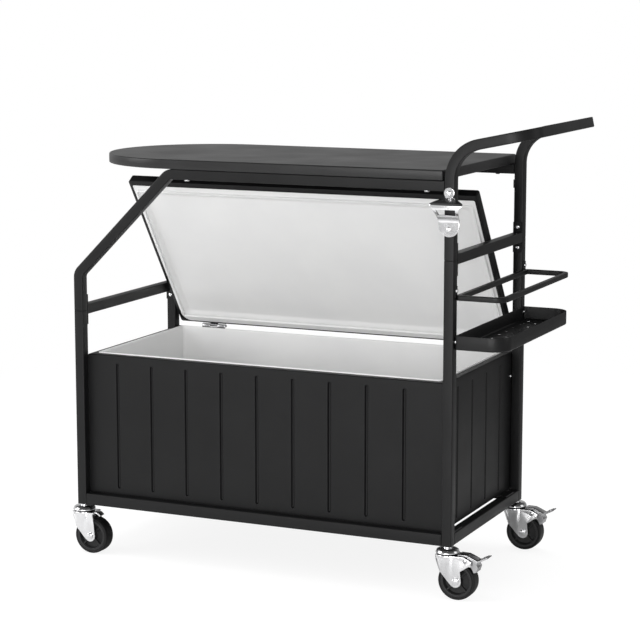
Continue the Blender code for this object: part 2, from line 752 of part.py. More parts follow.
def make_support_bars(cart):
    """Flat bars that cross the side rails and lift the cooler body off them; the front one has a lip."""
    low_z = BOTTOM_RAIL_HEIGHT + GAP
    high_z = low_z + SUPPORT_BAR_THICKNESS
    for across, y in (("front", SUPPORT_BAR_FRONT), ("rear", SUPPORT_BAR_REAR)):
        low = (SUPPORT_BAR_END_SETBACK, y, low_z)
        high = (FRAME_LENGTH - SUPPORT_BAR_END_SETBACK, y + SUPPORT_BAR_WIDTH, high_z)
        plate = box(bmesh.new(), low, high)
        bar = piece(f"body_support_bar_{across}", plate, BLACK_PAINT, cart, smooth=False)
        if across == "front":
            lip_low = (BODY_LEFT, y, low_z - SUPPORT_BAR_LIP)
            lip_high = (BODY_RIGHT, y + SUPPORT_BAR_THICKNESS, high_z)
            combine(bar, box(bmesh.new(), lip_low, lip_high), 'UNION')


def make_drain(cart):
    """A flanged drain tube through the floor and the screw cap under it."""
    flange_foot = TUB_FLOOR + GAP
    flange_top = flange_foot + DRAIN_FLANGE_THICKNESS
    tube_profile = (
        (DRAIN_BORE, DRAIN_FOOT),
        (DRAIN_TUBE, DRAIN_FOOT),
        (DRAIN_TUBE, flange_foot),
        (DRAIN_FLANGE, flange_foot),
        (DRAIN_FLANGE, flange_top),
        (DRAIN_BORE, flange_top),
    )
    moved = Matrix.Translation((DRAIN_X, DRAIN_Y, 0))
    spout = turned(bmesh.new(), tube_profile, DRAIN_STEPS, closed=True, to_world=moved)
    piece("drain_spout", spout, BLACK_PLASTIC, cart)
    thread = DRAIN_TUBE + GAP
    cap_profile = (
        (DRAIN_CAP, DRAIN_CAP_BOTTOM),
        (DRAIN_CAP, DRAIN_CAP_TOP),
        (thread, DRAIN_CAP_TOP),
        (thread, DRAIN_FOOT - GAP),
    )
    piece("drain_cap", turned(bmesh.new(), cap_profile, DRAIN_STEPS, to_world=moved), BLACK_PLASTIC, cart)


def lid_ring(sides, front, rear, radii, height):
    """A level outline in the lid's own axes, set in from its edges; height is above the underside."""
    left = LID_LEFT + sides
    right = LID_RIGHT - sides
    near = LID_FRONT + front - HINGE_Y
    far = LID_REAR - rear - HINGE_Y
    outline = rounded_rectangle((left, near), (right, far), radii, TUB_CORNER_STEPS)
    return [(x, y, height + HINGE_DROP) for x, y in outline]


def even_lid_ring(inset, radius, height):
    """A lid outline that is set in by the same amount all round."""
    return lid_ring(inset, inset, inset, [radius] * 4, height)


def rim_lid_ring(inset, radius, height):
    """A lid outline that is set in from the cooler body's faces instead of the lid's own edges."""
    sides = BODY_LEFT + inset - LID_LEFT
    front = BODY_FRONT + inset - LID_FRONT
    return lid_ring(sides, front, inset, [radius] * 4, height)


def lid_shoulder(inset, edge, top):
    """The rounded upper edge of the lid, from its flat top down to its wall."""
    rings = []
    for step in range(PANEL_EDGE_STEPS + 1):
        angle = math.pi / 2 * step / PANEL_EDGE_STEPS
        sink = edge * (1 - math.sin(angle))
        height = top - edge * (1 - math.cos(angle))
        rings.append(even_lid_ring(inset + sink, LID_CORNER - inset - sink / 2, height))
    return rings


def dish_rings(raise_by):
    """The liner's shallow dish, from its flat flange in to its floor."""
    start = GASKET_INSET + GASKET_WIDTH + GASKET_MARGIN
    rings = []
    for step in range(LID_DISH_STEPS + 1):
        share = step / LID_DISH_STEPS
        sink = LID_DISH_DEPTH * (1 - math.cos(math.pi * share)) / 2
        rings.append(rim_lid_ring(start + LID_DISH_SLOPE * share, LID_DISH_CORNER, sink + raise_by))
    return rings


def make_lid(lid):
    """Folded shell, insulation, liner and seal; all turn with the lid's hinge axis."""
    opening_radii = [LID_LINER_FRONT_CORNER] * 2 + [LID_LINER_REAR_CORNER] * 2
    lip = (LID_LIP_SIDE, LID_LIP_FRONT, LID_LIP_REAR, opening_radii)
    shell_rings = lid_shoulder(0, LID_EDGE, LID_THICKNESS)
    shell_rings.append(even_lid_ring(0, LID_CORNER, 0))
    shell_rings.append(lid_ring(*lip, 0))
    shell_rings.append(lid_ring(*lip, SHEET))
    shell_rings.append(even_lid_ring(SHEET, LID_CORNER - SHEET, SHEET))
    shell_rings += lid_shoulder(SHEET, LID_EDGE - SHEET, LID_THICKNESS - SHEET)[::-1]
    piece("lid_shell", loft(bmesh.new(), shell_rings), BLACK_PAINT, lid)

    inset = SHEET + GAP
    foam_rings = lid_shoulder(inset, LID_EDGE - inset, LID_THICKNESS - inset)
    foam_rings.append(even_lid_ring(inset, LID_CORNER - inset, LID_LINER + GAP))
    foam_rings += dish_rings(LID_LINER + GAP)
    piece("lid_foam", loft(bmesh.new(), foam_rings), PALE_FOAM, lid, smooth=False)

    gap_lip = (LID_LIP_SIDE + GAP, LID_LIP_FRONT + GAP, LID_LIP_REAR + GAP, opening_radii)
    liner_rings = dish_rings(0)[::-1]
    liner_rings.append(lid_ring(*gap_lip, 0))
    liner_rings.append(lid_ring(*gap_lip, LID_LINER))
    liner_rings += dish_rings(LID_LINER)
    piece("lid_liner", loft(bmesh.new(), liner_rings), PALE_PLASTIC, lid)

    seal_foot = FLANGE_TOP + GAP - LID_UNDERSIDE
    outer = GASKET_INSET
    inner = GASKET_INSET + GASKET_WIDTH
    gasket_rings = (
        rim_lid_ring(outer, LID_CORNER, seal_foot),
        rim_lid_ring(outer, LID_CORNER, -GAP),
        rim_lid_ring(inner, LID_CORNER - GASKET_WIDTH / 2, -GAP),
        rim_lid_ring(inner, LID_CORNER - GASKET_WIDTH / 2, seal_foot),
    )
    piece("lid_gasket", loft(bmesh.new(), gasket_rings, closed=True), PALE_SEAL, lid, smooth=False)


def make_leaf(name, parent, location, spans, rise):
    """One leaf of a butt hinge, drawn about the pin; rise is +1 for the lid's leaf and -1 below."""
    near = -HINGE_SETBACK + GAP
    far = near + HINGE_LEAF
    root = HINGE_BARREL + GAP
    half = HINGE_LENGTH / 2
    heights = sorted((rise * root, rise * HINGE_LEAF_HEIGHT))
    plate = box(bmesh.new(), (-half, near, heights[0]), (half, far, heights[1]))
    leaf = piece(name, plate, ZINC_STEEL, parent, location, smooth=False)
    for start, end in spans:
        levels = sorted((0, rise * (root + HINGE_LEAF)))
        combine(leaf, box(bmesh.new(), (start, near, levels[0]), (end, far, levels[1])), 'UNION')
        barrel = turned(bmesh.new(), ((HINGE_BARREL, 0), (HINGE_BARREL, end - start)), HINGE_STEPS,
                        to_world=along_x(start, 0, 0))
        combine(leaf, barrel, 'UNION')
    bore = turned(bmesh.new(), ((HINGE_BORE, 0), (HINGE_BORE, HINGE_LENGTH + 2 * OVERRUN)), HINGE_STEPS,
                  to_world=along_x(-half - OVERRUN, 0, 0))
    combine(leaf, bore, 'DIFFERENCE')


def make_hinges(cart, lid):
    """Two butt hinges that grip their pins, which holds the lid where it is left."""
    half = HINGE_LENGTH / 2
    third = HINGE_LENGTH / 6
    outer_spans = ((-half, -third - GAP / 2), (third + GAP / 2, half))
    middle_span = ((-third + GAP / 2, third - GAP / 2),)
    head_start = half + GAP
    head_end = head_start + HINGE_PIN_HEAD_LENGTH
    profile = (
        (HINGE_PIN_HEAD, -head_end),
        (HINGE_PIN_HEAD, -head_start),
        (HINGE_PIN, -head_start),
        (HINGE_PIN, head_start),
        (HINGE_PIN_HEAD, head_start),
        (HINGE_PIN_HEAD, head_end),
    )
    for side, x in HINGE_CENTRES.items():
        make_leaf(f"hinge_body_leaf_{side}", cart, (x, HINGE_Y, HINGE_Z), outer_spans, -1)
        make_leaf(f"hinge_lid_leaf_{side}", lid, (x, 0, 0), middle_span, 1)
        pin = turned(bmesh.new(), profile, HINGE_STEPS, to_world=along_x(0, 0, 0))
        piece(f"hinge_pin_{side}", pin, ZINC_STEEL, cart, (x, HINGE_Y, HINGE_Z))


def make_stem(name, cart, location):
    """The threaded stem, its collar, the upper race and the riveted kingpin."""
    head_top = FORK_CROWN_FOOT + GAP
    profile = (
        (STEM_RADIUS, STEM_LENGTH),
        (STEM_RADIUS, -GAP),
        (STEM_SHOULDER, -GAP),
        (STEM_SHOULDER, -STEM_SHOULDER_FOOT),
        (RACE_SHOULDER, -STEM_SHOULDER_FOOT),
        (RACE_RADIUS, -RACE_CROWN),
        (RACE_RADIUS, -RACE_WAIST),
        (RACE_SHOULDER, -RACE_FOOT),
        (KINGPIN_RADIUS, -RACE_FOOT),
        (KINGPIN_RADIUS, -head_top),
        (KINGPIN_HEAD, -head_top),
        (KINGPIN_HEAD, -head_top - KINGPIN_HEAD_THICKNESS),
    )
    piece(name, turned(bmesh.new(), profile, CASTER_STEPS), BRIGHT_CHROME, cart, location)


def fork_outline(braked):
    """Side view of a fork; a braked fork has an ear behind the wheel for the pedal's pivot."""
    nose = Vector((-FORK_NOSE_FOOT, -FORK_NOSE_HEIGHT))
    tip = Vector((AXLE_TRAIL, -AXLE_DROP))
    to_tip = tip - nose
    lean = math.atan2(to_tip.y, to_tip.x) - math.asin(FORK_TIP / to_tip.length)
    first = lean - math.pi / 2
    points = [(-FORK_NOSE, -FORK_CROWN_TOP), tuple(nose)]
    for step in range(FORK_TIP_STEPS + 1):
        angle = first + (2 * math.pi - first % (2 * math.pi)) * step / FORK_TIP_STEPS
        points.append((tip.x + FORK_TIP * math.cos(angle), tip.y + FORK_TIP * math.sin(angle)))
    notch_x = AXLE_TRAIL + FORK_BACK
    points.append((notch_x, -FORK_NOTCH_HEIGHT))
    if braked:
        points.append((EAR_FOOT_INNER, -EAR_FOOT))
        points.append((EAR_REACH, -EAR_FOOT))
        points.append((EAR_REACH, -EAR_TOP))
        points.append((EAR_ROOT, -FORK_CROWN_TOP))
    else:
        points.append((FORK_TAIL, -FORK_CROWN_TOP))
    return points


def hole_y(target, x, z, radius, steps):
    """Cuts a round hole across a piece."""
    half = FORK_OUTER_HALF + OVERRUN
    cut = turned(bmesh.new(), ((radius, 0), (radius, 2 * half)), steps, to_world=along_y(x, -half, z))
    combine(target, cut, 'DIFFERENCE')


def make_fork(name, swivel, braked):
    """A pressed channel cut to the side outline, with a round crown under the race."""
    outer = FORK_OUTER_HALF
    inner = FORK_INNER_HALF
    foot = -AXLE_DROP - FORK_TIP - OVERRUN
    channel = (
        (-outer, -FORK_CROWN_TOP),
        (-outer, foot),
        (-inner, foot),
        (-inner, -FORK_CROWN_FOOT),
        (inner, -FORK_CROWN_FOOT),
        (inner, foot),
        (outer, foot),
        (outer, -FORK_CROWN_TOP),
    )
    ends = (-FORK_NOSE - OVERRUN, EAR_REACH + OVERRUN)
    crown_end = EAR_ROOT if braked else FORK_TAIL
    channel_rings = [[(x, y, z) for y, z in channel] for x in ends]
    fork = piece(name, loft(bmesh.new(), channel_rings), BRIGHT_CHROME, swivel, smooth=False)
    outline = prism_y(bmesh.new(), fork_outline(braked), -outer - OVERRUN, outer + OVERRUN)
    combine(fork, outline, 'INTERSECT')
    disc = ((FORK_DISC, -FORK_CROWN_FOOT), (FORK_DISC, -FORK_CROWN_TOP))
    combine(fork, turned(bmesh.new(), disc, CASTER_STEPS), 'UNION')
    if not braked:
        tab = (
            (crown_end - OVERRUN, -FORK_CROWN_TOP),
            (crown_end - OVERRUN, -FORK_CROWN_FOOT),
            (TAIL_TAB_REACH, -FORK_CROWN_FOOT - TAIL_TAB_DROP),
            (TAIL_TAB_REACH + FORK_CROWN / 2, -FORK_CROWN_TOP - TAIL_TAB_DROP),
        )
        combine(fork, prism_y(bmesh.new(), tab, -TAIL_TAB_HALF_WIDTH, TAIL_TAB_HALF_WIDTH), 'UNION')
    if braked:
        behind = box(bmesh.new(), (crown_end, -inner, -EAR_FOOT - OVERRUN), (EAR_REACH + OVERRUN, inner, 0))
        combine(fork, behind, 'DIFFERENCE')
    bore = KINGPIN_RADIUS + BORE_GAP
    centre_hole = ((bore, -FORK_CROWN_FOOT - OVERRUN), (bore, -FORK_CROWN_TOP + OVERRUN))
    combine(fork, turned(bmesh.new(), centre_hole, CASTER_STEPS), 'DIFFERENCE')
    hole_y(fork, AXLE_TRAIL, -AXLE_DROP, AXLE_RADIUS + GAP, AXLE_STEPS)
    if braked:
        hole_y(fork, BRAKE_PIVOT_REACH, -BRAKE_PIVOT_DROP, BRAKE_PIN + GAP, AXLE_STEPS)


def make_bolt(name, parent, x, z, radius, head, head_thickness, finish):
    """A headed pin that crosses the fork and is riveted at its far end."""
    start = FORK_OUTER_HALF + GAP
    end = start + head_thickness
    profile = ((head, -end), (head, -start), (radius, -start), (radius, start), (head, start), (head, end))
    piece(name, turned(bmesh.new(), profile, AXLE_STEPS, to_world=along_y(x, 0, z)), finish, parent)


def make_wheel(name, axle_axis):
    """A moulded wheel with a crowned tread, a recessed web and a bored hub."""
    bore = AXLE_RADIUS + BORE_GAP
    half = (
        (bore, HUB_HALF_WIDTH),
        (HUB_RADIUS, HUB_HALF_WIDTH),
        (HUB_RADIUS, WEB_HALF_WIDTH),
        (WEB_OUTER_RADIUS, WEB_HALF_WIDTH),
        (RIM_RADIUS, RIM_LIP_HALF),
        (TREAD_SHOULDER, TREAD_HALF_WIDTH),
        (WHEEL_RADIUS, TREAD_CROWN_HALF),
    )
    profile = list(half) + [(radius, -height) for radius, height in half[::-1]]
    wheel = turned(bmesh.new(), profile, WHEEL_STEPS, closed=True, to_world=along_y(0, 0, 0))
    piece(name, wheel, WHEEL_BLACK, axle_axis)


def pedal_outline():
    """Side view of a pedal about its pivot: plate, knee, toe tip and the shoe that meets the tread."""
    crown_clear = FORK_CROWN_TOP - GAP
    boss_side = BRAKE_PIVOT_REACH - PEDAL_BOSS + PEDAL_ROOT_GAP
    points = [
        (PEDAL_START, -PEDAL_TOP),
        (BRAKE_PIVOT_REACH, -PEDAL_TOP - GAP),
        (PEDAL_KNEE_REACH, -PEDAL_KNEE_DROP),
        (PEDAL_TIP_REACH, -PEDAL_TOP),
        (PEDAL_TIP_REACH + PEDAL_PLATE / 2, -PEDAL_TOP - PEDAL_PLATE),
        (PEDAL_KNEE_REACH, -PEDAL_KNEE_DROP - PEDAL_PLATE),
        (PEDAL_KNEE_REACH - PEDAL_PLATE / 2, -PEDAL_KNEE_DROP - 2 * PEDAL_PLATE),
        (SHOE_REACH, -SHOE_TOP_DROP),
        (SHOE_REACH - 2 * PEDAL_PLATE, -SHOE_FOOT_DROP),
    ]
    for step in range(SHOE_STEPS + 1):
        angle = SHOE_LOW_ANGLE + (SHOE_HIGH_ANGLE - SHOE_LOW_ANGLE) * step / SHOE_STEPS
        reach = AXLE_TRAIL + SHOE_RADIUS * math.cos(angle)
        points.append((reach, SHOE_RADIUS * math.sin(angle) - AXLE_DROP))
    points += [
        (BRAKE_PIVOT_REACH + PEDAL_BOSS, -BRAKE_PIVOT_DROP - PEDAL_BOSS),
        (BRAKE_PIVOT_REACH, -BRAKE_PIVOT_DROP - PEDAL_BOSS),
        (boss_side, -BRAKE_PIVOT_DROP - PEDAL_BOSS / 2),
        (boss_side, -crown_clear),
        (PEDAL_START, -crown_clear),
    ]
    return points


def make_pedal(name, pivot):
    """The brake pedal, drawn about its pivot."""
    outline = [(x - BRAKE_PIVOT_REACH, z + BRAKE_PIVOT_DROP) for x, z in pedal_outline()]
    body = prism_y(bmesh.new(), outline, -PEDAL_HALF_WIDTH, PEDAL_HALF_WIDTH)
    pedal = piece(name, body, ZINC_STEEL, pivot, smooth=False)
    hole_y(pedal, 0, 0, BRAKE_PIN + GAP, AXLE_STEPS)


def make_casters(cart):
    """Four swivel casters that trail towards the handle; the pair under the handle has brakes."""
    for across, y in LEG_CENTRES_Y.items():
        for side, x in LEG_CENTRES_X.items():
            place = f"{across}_{side}"
            braked = side == "right"
            make_stem(f"caster_stem_{place}", cart, (x, y, 0))
            swivel = empty(f"caster_swivel_axis_{place}", cart, (x, y, 0))
            make_fork(f"caster_fork_{place}", swivel, braked)
            make_bolt(f"caster_axle_{place}", swivel, AXLE_TRAIL, -AXLE_DROP, AXLE_RADIUS, AXLE_HEAD,
                      AXLE_HEAD_THICKNESS, BRIGHT_CHROME)
            axle_axis = empty(f"caster_axle_axis_{place}", swivel, (AXLE_TRAIL, 0, -AXLE_DROP))
            make_wheel(f"caster_wheel_{place}", axle_axis)
            if braked:
                make_bolt(f"brake_pin_{place}", swivel, BRAKE_PIVOT_REACH, -BRAKE_PIVOT_DROP, BRAKE_PIN,
                          BRAKE_PIN_HEAD, BRAKE_PIN_HEAD_THICKNESS, ZINC_STEEL)
                pivot = empty(f"brake_axis_{place}", swivel, (BRAKE_PIVOT_REACH, 0, -BRAKE_PIVOT_DROP))
                make_pedal(f"brake_pedal_{place}", pivot)


def round_end_rows(centre, radius, start, end):
    """Heights and half widths over part of a round end; the ends are angles above level."""
    rows = []
    for step in range(OPENER_ROUND_STEPS + 1):
        angle = start + (end - start) * step / OPENER_ROUND_STEPS
        rows.append((centre + radius * math.sin(angle), 0, radius * math.cos(angle)))
    return rows


def make_bottle_opener(cart):
    """One pressed strip: a screwed foot, a sill, two struts, a hooked lip, a brow and a screwed lobe."""
    foot = round_end_rows(OPENER_FOOT_CENTRE, OPENER_FOOT_RADIUS, -OPENER_BLUNT, 0)
    waist = math.asin((OPENER_NECK - OPENER_LOBE_CENTRE) / OPENER_LOBE_RADIUS)
    lobe = round_end_rows(OPENER_LOBE_CENTRE, OPENER_LOBE_RADIUS, waist / 2, OPENER_BLUNT)
    middle = [
        (OPENER_FOLD, 0, OPENER_FOLD_HALF),
        (OPENER_SILL, OPENER_SILL_OUT, OPENER_SILL_HALF),
        (OPENER_LIP_FOOT, OPENER_LIP_OUT, OPENER_LIP_FOOT_HALF),
        (OPENER_LIP_TOP, OPENER_LIP_OUT, OPENER_WING_HALF),
        (OPENER_BROW, OPENER_BROW_OUT, OPENER_BROW_HALF),
        (OPENER_NECK, 0, OPENER_NECK_HALF),
    ]
    rows = foot + middle + lobe
    sill_row = len(foot) + 1
    window = 1 - OPENER_STRUT / OPENER_LIP_FOOT_HALF
    shares = (-1, -window, -window / 3, window / 3, window, 1)
    bm = bmesh.new()
    grid = [[bm.verts.new((half * share, -out, height)) for share in shares] for height, out, half in rows]
    for index, (low, high) in enumerate(zip(grid, grid[1:])):
        for column in range(len(shares) - 1):
            in_window = index == sill_row and 0 < column < len(shares) - 2
            if not in_window:
                bm.faces.new((low[column], low[column + 1], high[column + 1], high[column]))
    location = (LEG_CENTRES_X["right"], -GAP, 0)
    opener = piece("bottle_opener", bm, BRIGHT_CHROME, cart, location, smooth=False)
    solidify = opener.modifiers.new("plate", 'SOLIDIFY')
    solidify.thickness = OPENER_PLATE
    solidify.offset = -1
    hole = OPENER_SCREW_SHANK + GAP
    for height in OPENER_SCREWS.values():
        through = ((hole, -OPENER_PLATE - OVERRUN), (hole, OVERRUN))
        cut = turned(bmesh.new(), through, AXLE_STEPS, to_world=along_y(0, 0, height))
        combine(opener, cut, 'DIFFERENCE')


def make_opener_screws(cart):
    """The two screws that hold the opener to the front upright."""
    seat = -GAP - OPENER_PLATE - GAP
    profile = (
        (OPENER_SCREW_HEAD / 2, -OPENER_SCREW_HEAD_HEIGHT),
        (OPENER_SCREW_HEAD, -OPENER_SCREW_HEAD_HEIGHT / 2),
        (OPENER_SCREW_HEAD, 0),
        (OPENER_SCREW_SHANK, 0),
        (OPENER_SCREW_SHANK, OPENER_PLATE + GAP),
    )
    for name, height in OPENER_SCREWS.items():
        moved = along_y(LEG_CENTRES_X["right"], seat, height)
        screw = turned(bmesh.new(), profile, AXLE_STEPS, to_world=moved)
        piece(f"opener_screw_{name}", screw, BRIGHT_CHROME, cart)


def tray_ring(inset, height):
    """A level outline of the tray, set in from its outer faces."""
    low = (FRAME_LENGTH + GAP + inset, TRAY_FRONT + inset)
    high = (TRAY_REACH - inset, TRAY_REAR - inset)
    inner = TRAY_INNER_CORNER - inset
    outer = TRAY_OUTER_CORNER - inset
    outline = rounded_rectangle(low, high, [inner, outer, outer, inner], TRAY_CORNER_STEPS)
    return [(x, y, height) for x, y in outline]


def tray_hole_places():
    """Staggered rows of drain holes, kept off the walls and the round corners."""
    places = []
    keep = TRAY_HOLE + TRAY_HOLE_MARGIN
    right = TRAY_REACH - keep
    back = TRAY_REAR - keep
    rows = int((TRAY_REACH - FRAME_LENGTH) / TRAY_ROW_PITCH)
    count = int((TRAY_REAR - TRAY_FRONT) / TRAY_HOLE_PITCH) + 1
    for row in range(rows):
        x = FRAME_LENGTH + TRAY_FIRST_ROW + TRAY_ROW_PITCH * row
        for index in range(count):
            y = TRAY_FRONT + TRAY_FIRST_HOLE + TRAY_HOLE_PITCH * (index + row % 2 / 2)
            corner_x = x - (TRAY_REACH - TRAY_OUTER_CORNER)
            near_edge = min(y - TRAY_FRONT, TRAY_REAR - y)
            corner_y = TRAY_OUTER_CORNER - near_edge
            in_corner = corner_x > 0 and corner_y > 0
            clear = not in_corner or math.hypot(corner_x, corner_y) < TRAY_OUTER_CORNER - keep
            if x < right and y < back and clear:
                places.append((x, y))
    return places


def make_tray(cart):
    """A shallow tray on the right legs with a staggered grid of drain holes."""
    floor_top = TRAY_BOTTOM + TRAY_WALL
    rings = (
        tray_ring(TRAY_FLOOR_EDGE, TRAY_BOTTOM),
        tray_ring(0, TRAY_BOTTOM + TRAY_FLOOR_EDGE),
        tray_ring(0, TRAY_TOP),
        tray_ring(TRAY_WALL, TRAY_TOP),
        tray_ring(TRAY_WALL, floor_top + TRAY_FLOOR_EDGE),
        tray_ring(TRAY_FLOOR_EDGE + TRAY_WALL / 2, floor_top),
    )
    tray = piece("accessory_tray", loft(bmesh.new(), rings), BLACK_PAINT, cart, smooth=False)
    holes = bmesh.new()
    for x, y in tray_hole_places():
        moved = Matrix.Translation((x, y, 0))
        profile = ((TRAY_HOLE, TRAY_BOTTOM - OVERRUN), (TRAY_HOLE, floor_top + OVERRUN))
        turned(holes, profile, TRAY_HOLE_STEPS, to_world=moved)
    combine(tray, holes, 'DIFFERENCE')


def make_wire_rail(cart):
    """A square-bar loop over the tray, screwed to the right legs through two tabs."""
    centre_z = WIRE_BOTTOM + WIRE / 2
    near_x = FRAME_LENGTH + GAP + WIRE / 2
    far_x = WIRE_REACH - WIRE / 2
    near_y = LEG_CENTRES_Y["front"]
    far_y = LEG_CENTRES_Y["rear"]
    corners = (
        (near_x, near_y, centre_z),
        (far_x, near_y, centre_z),
        (far_x, far_y, centre_z),
        (near_x, far_y, centre_z),
    )
    radii = (WIRE / 2, WIRE_BEND, WIRE_BEND, WIRE / 2)
    stations = bent_path(corners, radii, closed=True)
    half = WIRE / 2
    outline = rounded_rectangle((-half, -half), (half, half), [WIRE_CORNER] * 4, 1)
    rings = swept_rings(stations, outline, (0, 0, 1))
    rail = piece("wire_rail", loft(bmesh.new(), rings, closed=True), BLACK_PAINT, cart)
    for y in (near_y, far_y):
        low = (FRAME_LENGTH + GAP, y - WIRE_TAB_WIDTH / 2, centre_z)
        high = (FRAME_LENGTH + GAP + WIRE_TAB, y + WIRE_TAB_WIDTH / 2, WIRE_TAB_TOP)
        combine(rail, box(bmesh.new(), low, high), 'UNION')


def main():
    """Builds the cart, the cooler body, its lid, the casters and the fittings."""
    clear_scene()
    cart = empty("cart_datum", None, (-CENTRE_X, -CENTRE_Y, CASTER_HEIGHT))
    make_legs(cart)
    make_bottom_rails(cart)
    make_crossbars(cart)
    make_upper_frames(cart)
    make_push_handle(cart)
    make_table_top(cart)
    make_body_panels(cart)
    make_tub(cart)
    make_support_bars(cart)
    make_drain(cart)
    lid = empty("lid_hinge_axis", cart, (0, HINGE_Y, HINGE_Z), (-LID_OPEN_ANGLE, 0, 0))
    make_lid(lid)
    make_hinges(cart, lid)
    make_casters(cart)
    make_bottle_opener(cart)
    make_opener_screws(cart)
    make_tray(cart)
    make_wire_rail(cart)


main()
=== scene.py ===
"""Looks of the rolling patio cooler: finishes, finely shaped pieces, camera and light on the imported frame.

Lengths are metres and +Z is up; tables inside mm() are millimetres. As in the part's own source, pieces
are drawn from the bottom outer corner of the front left leg, and CART moves that corner to its place.
"""

from math import asin, atan2, cos, hypot, pi, radians, sin, sqrt, tan

import bmesh
import bpy
from mathutils import Matrix, Vector


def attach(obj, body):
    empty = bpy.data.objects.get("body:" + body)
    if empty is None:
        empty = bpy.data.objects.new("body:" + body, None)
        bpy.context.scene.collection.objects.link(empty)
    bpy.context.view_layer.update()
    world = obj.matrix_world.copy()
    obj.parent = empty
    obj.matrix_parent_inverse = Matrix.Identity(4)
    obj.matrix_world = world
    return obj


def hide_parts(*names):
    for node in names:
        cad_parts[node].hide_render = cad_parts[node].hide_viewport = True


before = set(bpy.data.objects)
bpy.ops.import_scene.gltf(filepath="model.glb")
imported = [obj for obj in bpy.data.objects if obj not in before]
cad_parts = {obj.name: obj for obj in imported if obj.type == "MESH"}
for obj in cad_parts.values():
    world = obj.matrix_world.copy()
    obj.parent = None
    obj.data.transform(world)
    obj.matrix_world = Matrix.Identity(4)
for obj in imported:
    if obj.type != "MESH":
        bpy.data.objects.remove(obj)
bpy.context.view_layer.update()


def mm(*rows):
    """A table of millimetres in metres."""
    return [tuple(value / 1000 for value in row) for row in rows]


def quarter_round(steps):
    """Shares of a radius by which a rounded edge draws back and falls, from its start to its end."""
    angles = [pi / 2 * step / steps for step in range(steps + 1)]
    return [(1 - cos(angle), 1 - sin(angle)) for angle in angles]


GAP = 0.0003
OVERRUN = 0.002
CUT_TOLERANCE = 1e-6
SHARP = radians(38)
BEVEL_ANGLE = radians(35)
FINE_BEVEL = 0.0003
WHITE = (1, 1, 1, 1)

# Cart frame
FRAME_LENGTH = 0.880
FRAME_DEPTH = 0.4426
CASTER_HEIGHT = 0.1085
TUBE = 0.0215
TUBE_CORNER = 0.0021
TUBE_CORNER_STEPS = 4
TUBE_FACET = radians(5)
TUBE_END = 0.0005
BOTTOM_RAIL_HEIGHT = 0.025
LEFT_SEAM = 0.431
RIGHT_SEAM = 0.5875
CROSSBAR_RISE = 0.0016
CROSSBAR_PLATE = 0.002
CROSSBAR_PLATE_HEIGHT = 0.066
CROSSBAR_SCREW_RISE = 0.0225

# Upper frames and push handle
TOP_RAIL_TOP = 0.7478
SLANT_FOOT = 0.5178
SLANT_ANGLE = radians(45)
SLANT_BEND = 0.0203
HANDLE_OVERHANG = 0.165
HANDLE_TILT = radians(12)
HANDLE_BEND_START = 0.7506
HANDLE_BEND = 0.0725
HANDLE_CORNER = 0.050

# Table top
TOP_THICKNESS = 0.0207
TOP_RIGHT_SETBACK = 0.0255
TOP_EDGE = 0.003
TOP_CORNER = 0.003
TOP_STEPS = 72
TOP_UNDERSIDE_INSET = 0.010
TOP_FACE_INSETS = (0.004, 0.030)

# Cooler body
BODY_FRONT = 0.0188
BODY_REAR_SETBACK = 0.0026
BODY_BOTTOM = 0.028
BODY_TOP = 0.335
SHEET = 0.001
PANEL_EDGE = 0.003
HEM_WIDTH = 0.0175
GROOVE_DEPTH = 0.0046
GROOVE_HALF = 0.0045
GROOVE_FLOOR_HALF = 0.0015
GROOVE_FOOT = 0.010
GROOVE_HEAD = 0.017
GROOVE_COLUMN_SHARES = (-1.3, -1, -0.85, -0.7, -0.55, -0.4, -0.25, 0)
GROOVE_ROW_SHARES = (-1.2, -1, -0.85, -0.7, -0.5, -0.25, 0)
PANEL_BACK_SHARE = 0.9
LONG_PANEL_FIRST_GROOVE = 0.0732
LONG_PANEL_PITCH = 0.0841
SIDE_PANEL_FIRST_GROOVE = 0.070
SIDE_PANEL_PITCH = 0.0859

# Tub
TUB_WALL = 0.0025
TUB_INSET = 0.0215
TUB_DRAFT = 0.004
TUB_CORNER = 0.007
TUB_FLOOR_EDGE = 0.004
TUB_FLOOR_CORNER = 0.016
TUB_LIP = 0.003
FLANGE_INSET = 0.0155
FLANGE_CORNER = 0.006
FLOOR_FOAM = 0.025
DRAIN_X = 0.120
DRAIN_HOLE = 0.0133
DRAIN_HOLE_SPAN = (0.02, 0.2)
SPOUT = mm((9, -48.4), (13, -48.4), (13, 0), (19.6, 0), (20, 0.4), (19.8, 1.2), (19, 1.8), (15, 1.8),
           (10.5, 1.2), (9.4, 0.6), (9, -0.6))
CAP = mm((15.5, 4, 0), (16.6, 4.4, 0.4), (17, 5.6, 0.8), (17, 22.5, 0.8), (16.5, 24, 0), (13.3, 24, 0),
         (13.3, 8.7, 0))
CAP_STEPS = 96

# Lid
LID_SIDE_SETBACK = 0.026
LID_FRONT = 0.010
LID_THICKNESS = 0.022
LID_UNDERSIDE = 0.3424
LID_OPEN_ANGLE = radians(55.2)
LID_EDGE = 0.004
LID_CORNER = 0.005
LID_LOW_EDGE = 0.0008
LID_FACE_RINGS = ((0.030, 0.002), (0.005, 0.003))
LID_LIP_SIDE = 0.007
LID_LIP_FRONT = 0.013
LID_LIP_REAR = 0.0035
LID_LINER = 0.002
LID_LINER_FRONT_CORNER = 0.003
LID_LINER_REAR_CORNER = 0.022
LID_DISH_DEPTH = 0.006
LID_DISH_SLOPE = 0.014
LID_DISH_CORNER = 0.012
LID_DISH_RIM = 0.001
LID_DISH_FLOOR_SHARE = 2.2
GASKET_INSET = 0.017
GASKET_WIDTH = 0.004
GASKET_MARGIN = 0.001
HINGE_SETBACK = 0.0046
HINGE_DROP = 0.0025
HINGE_END_DISTANCE = 0.113
HINGE_LENGTH = 0.060
HINGE_BARREL = 0.0035
HINGE_LEAF = 0.0015
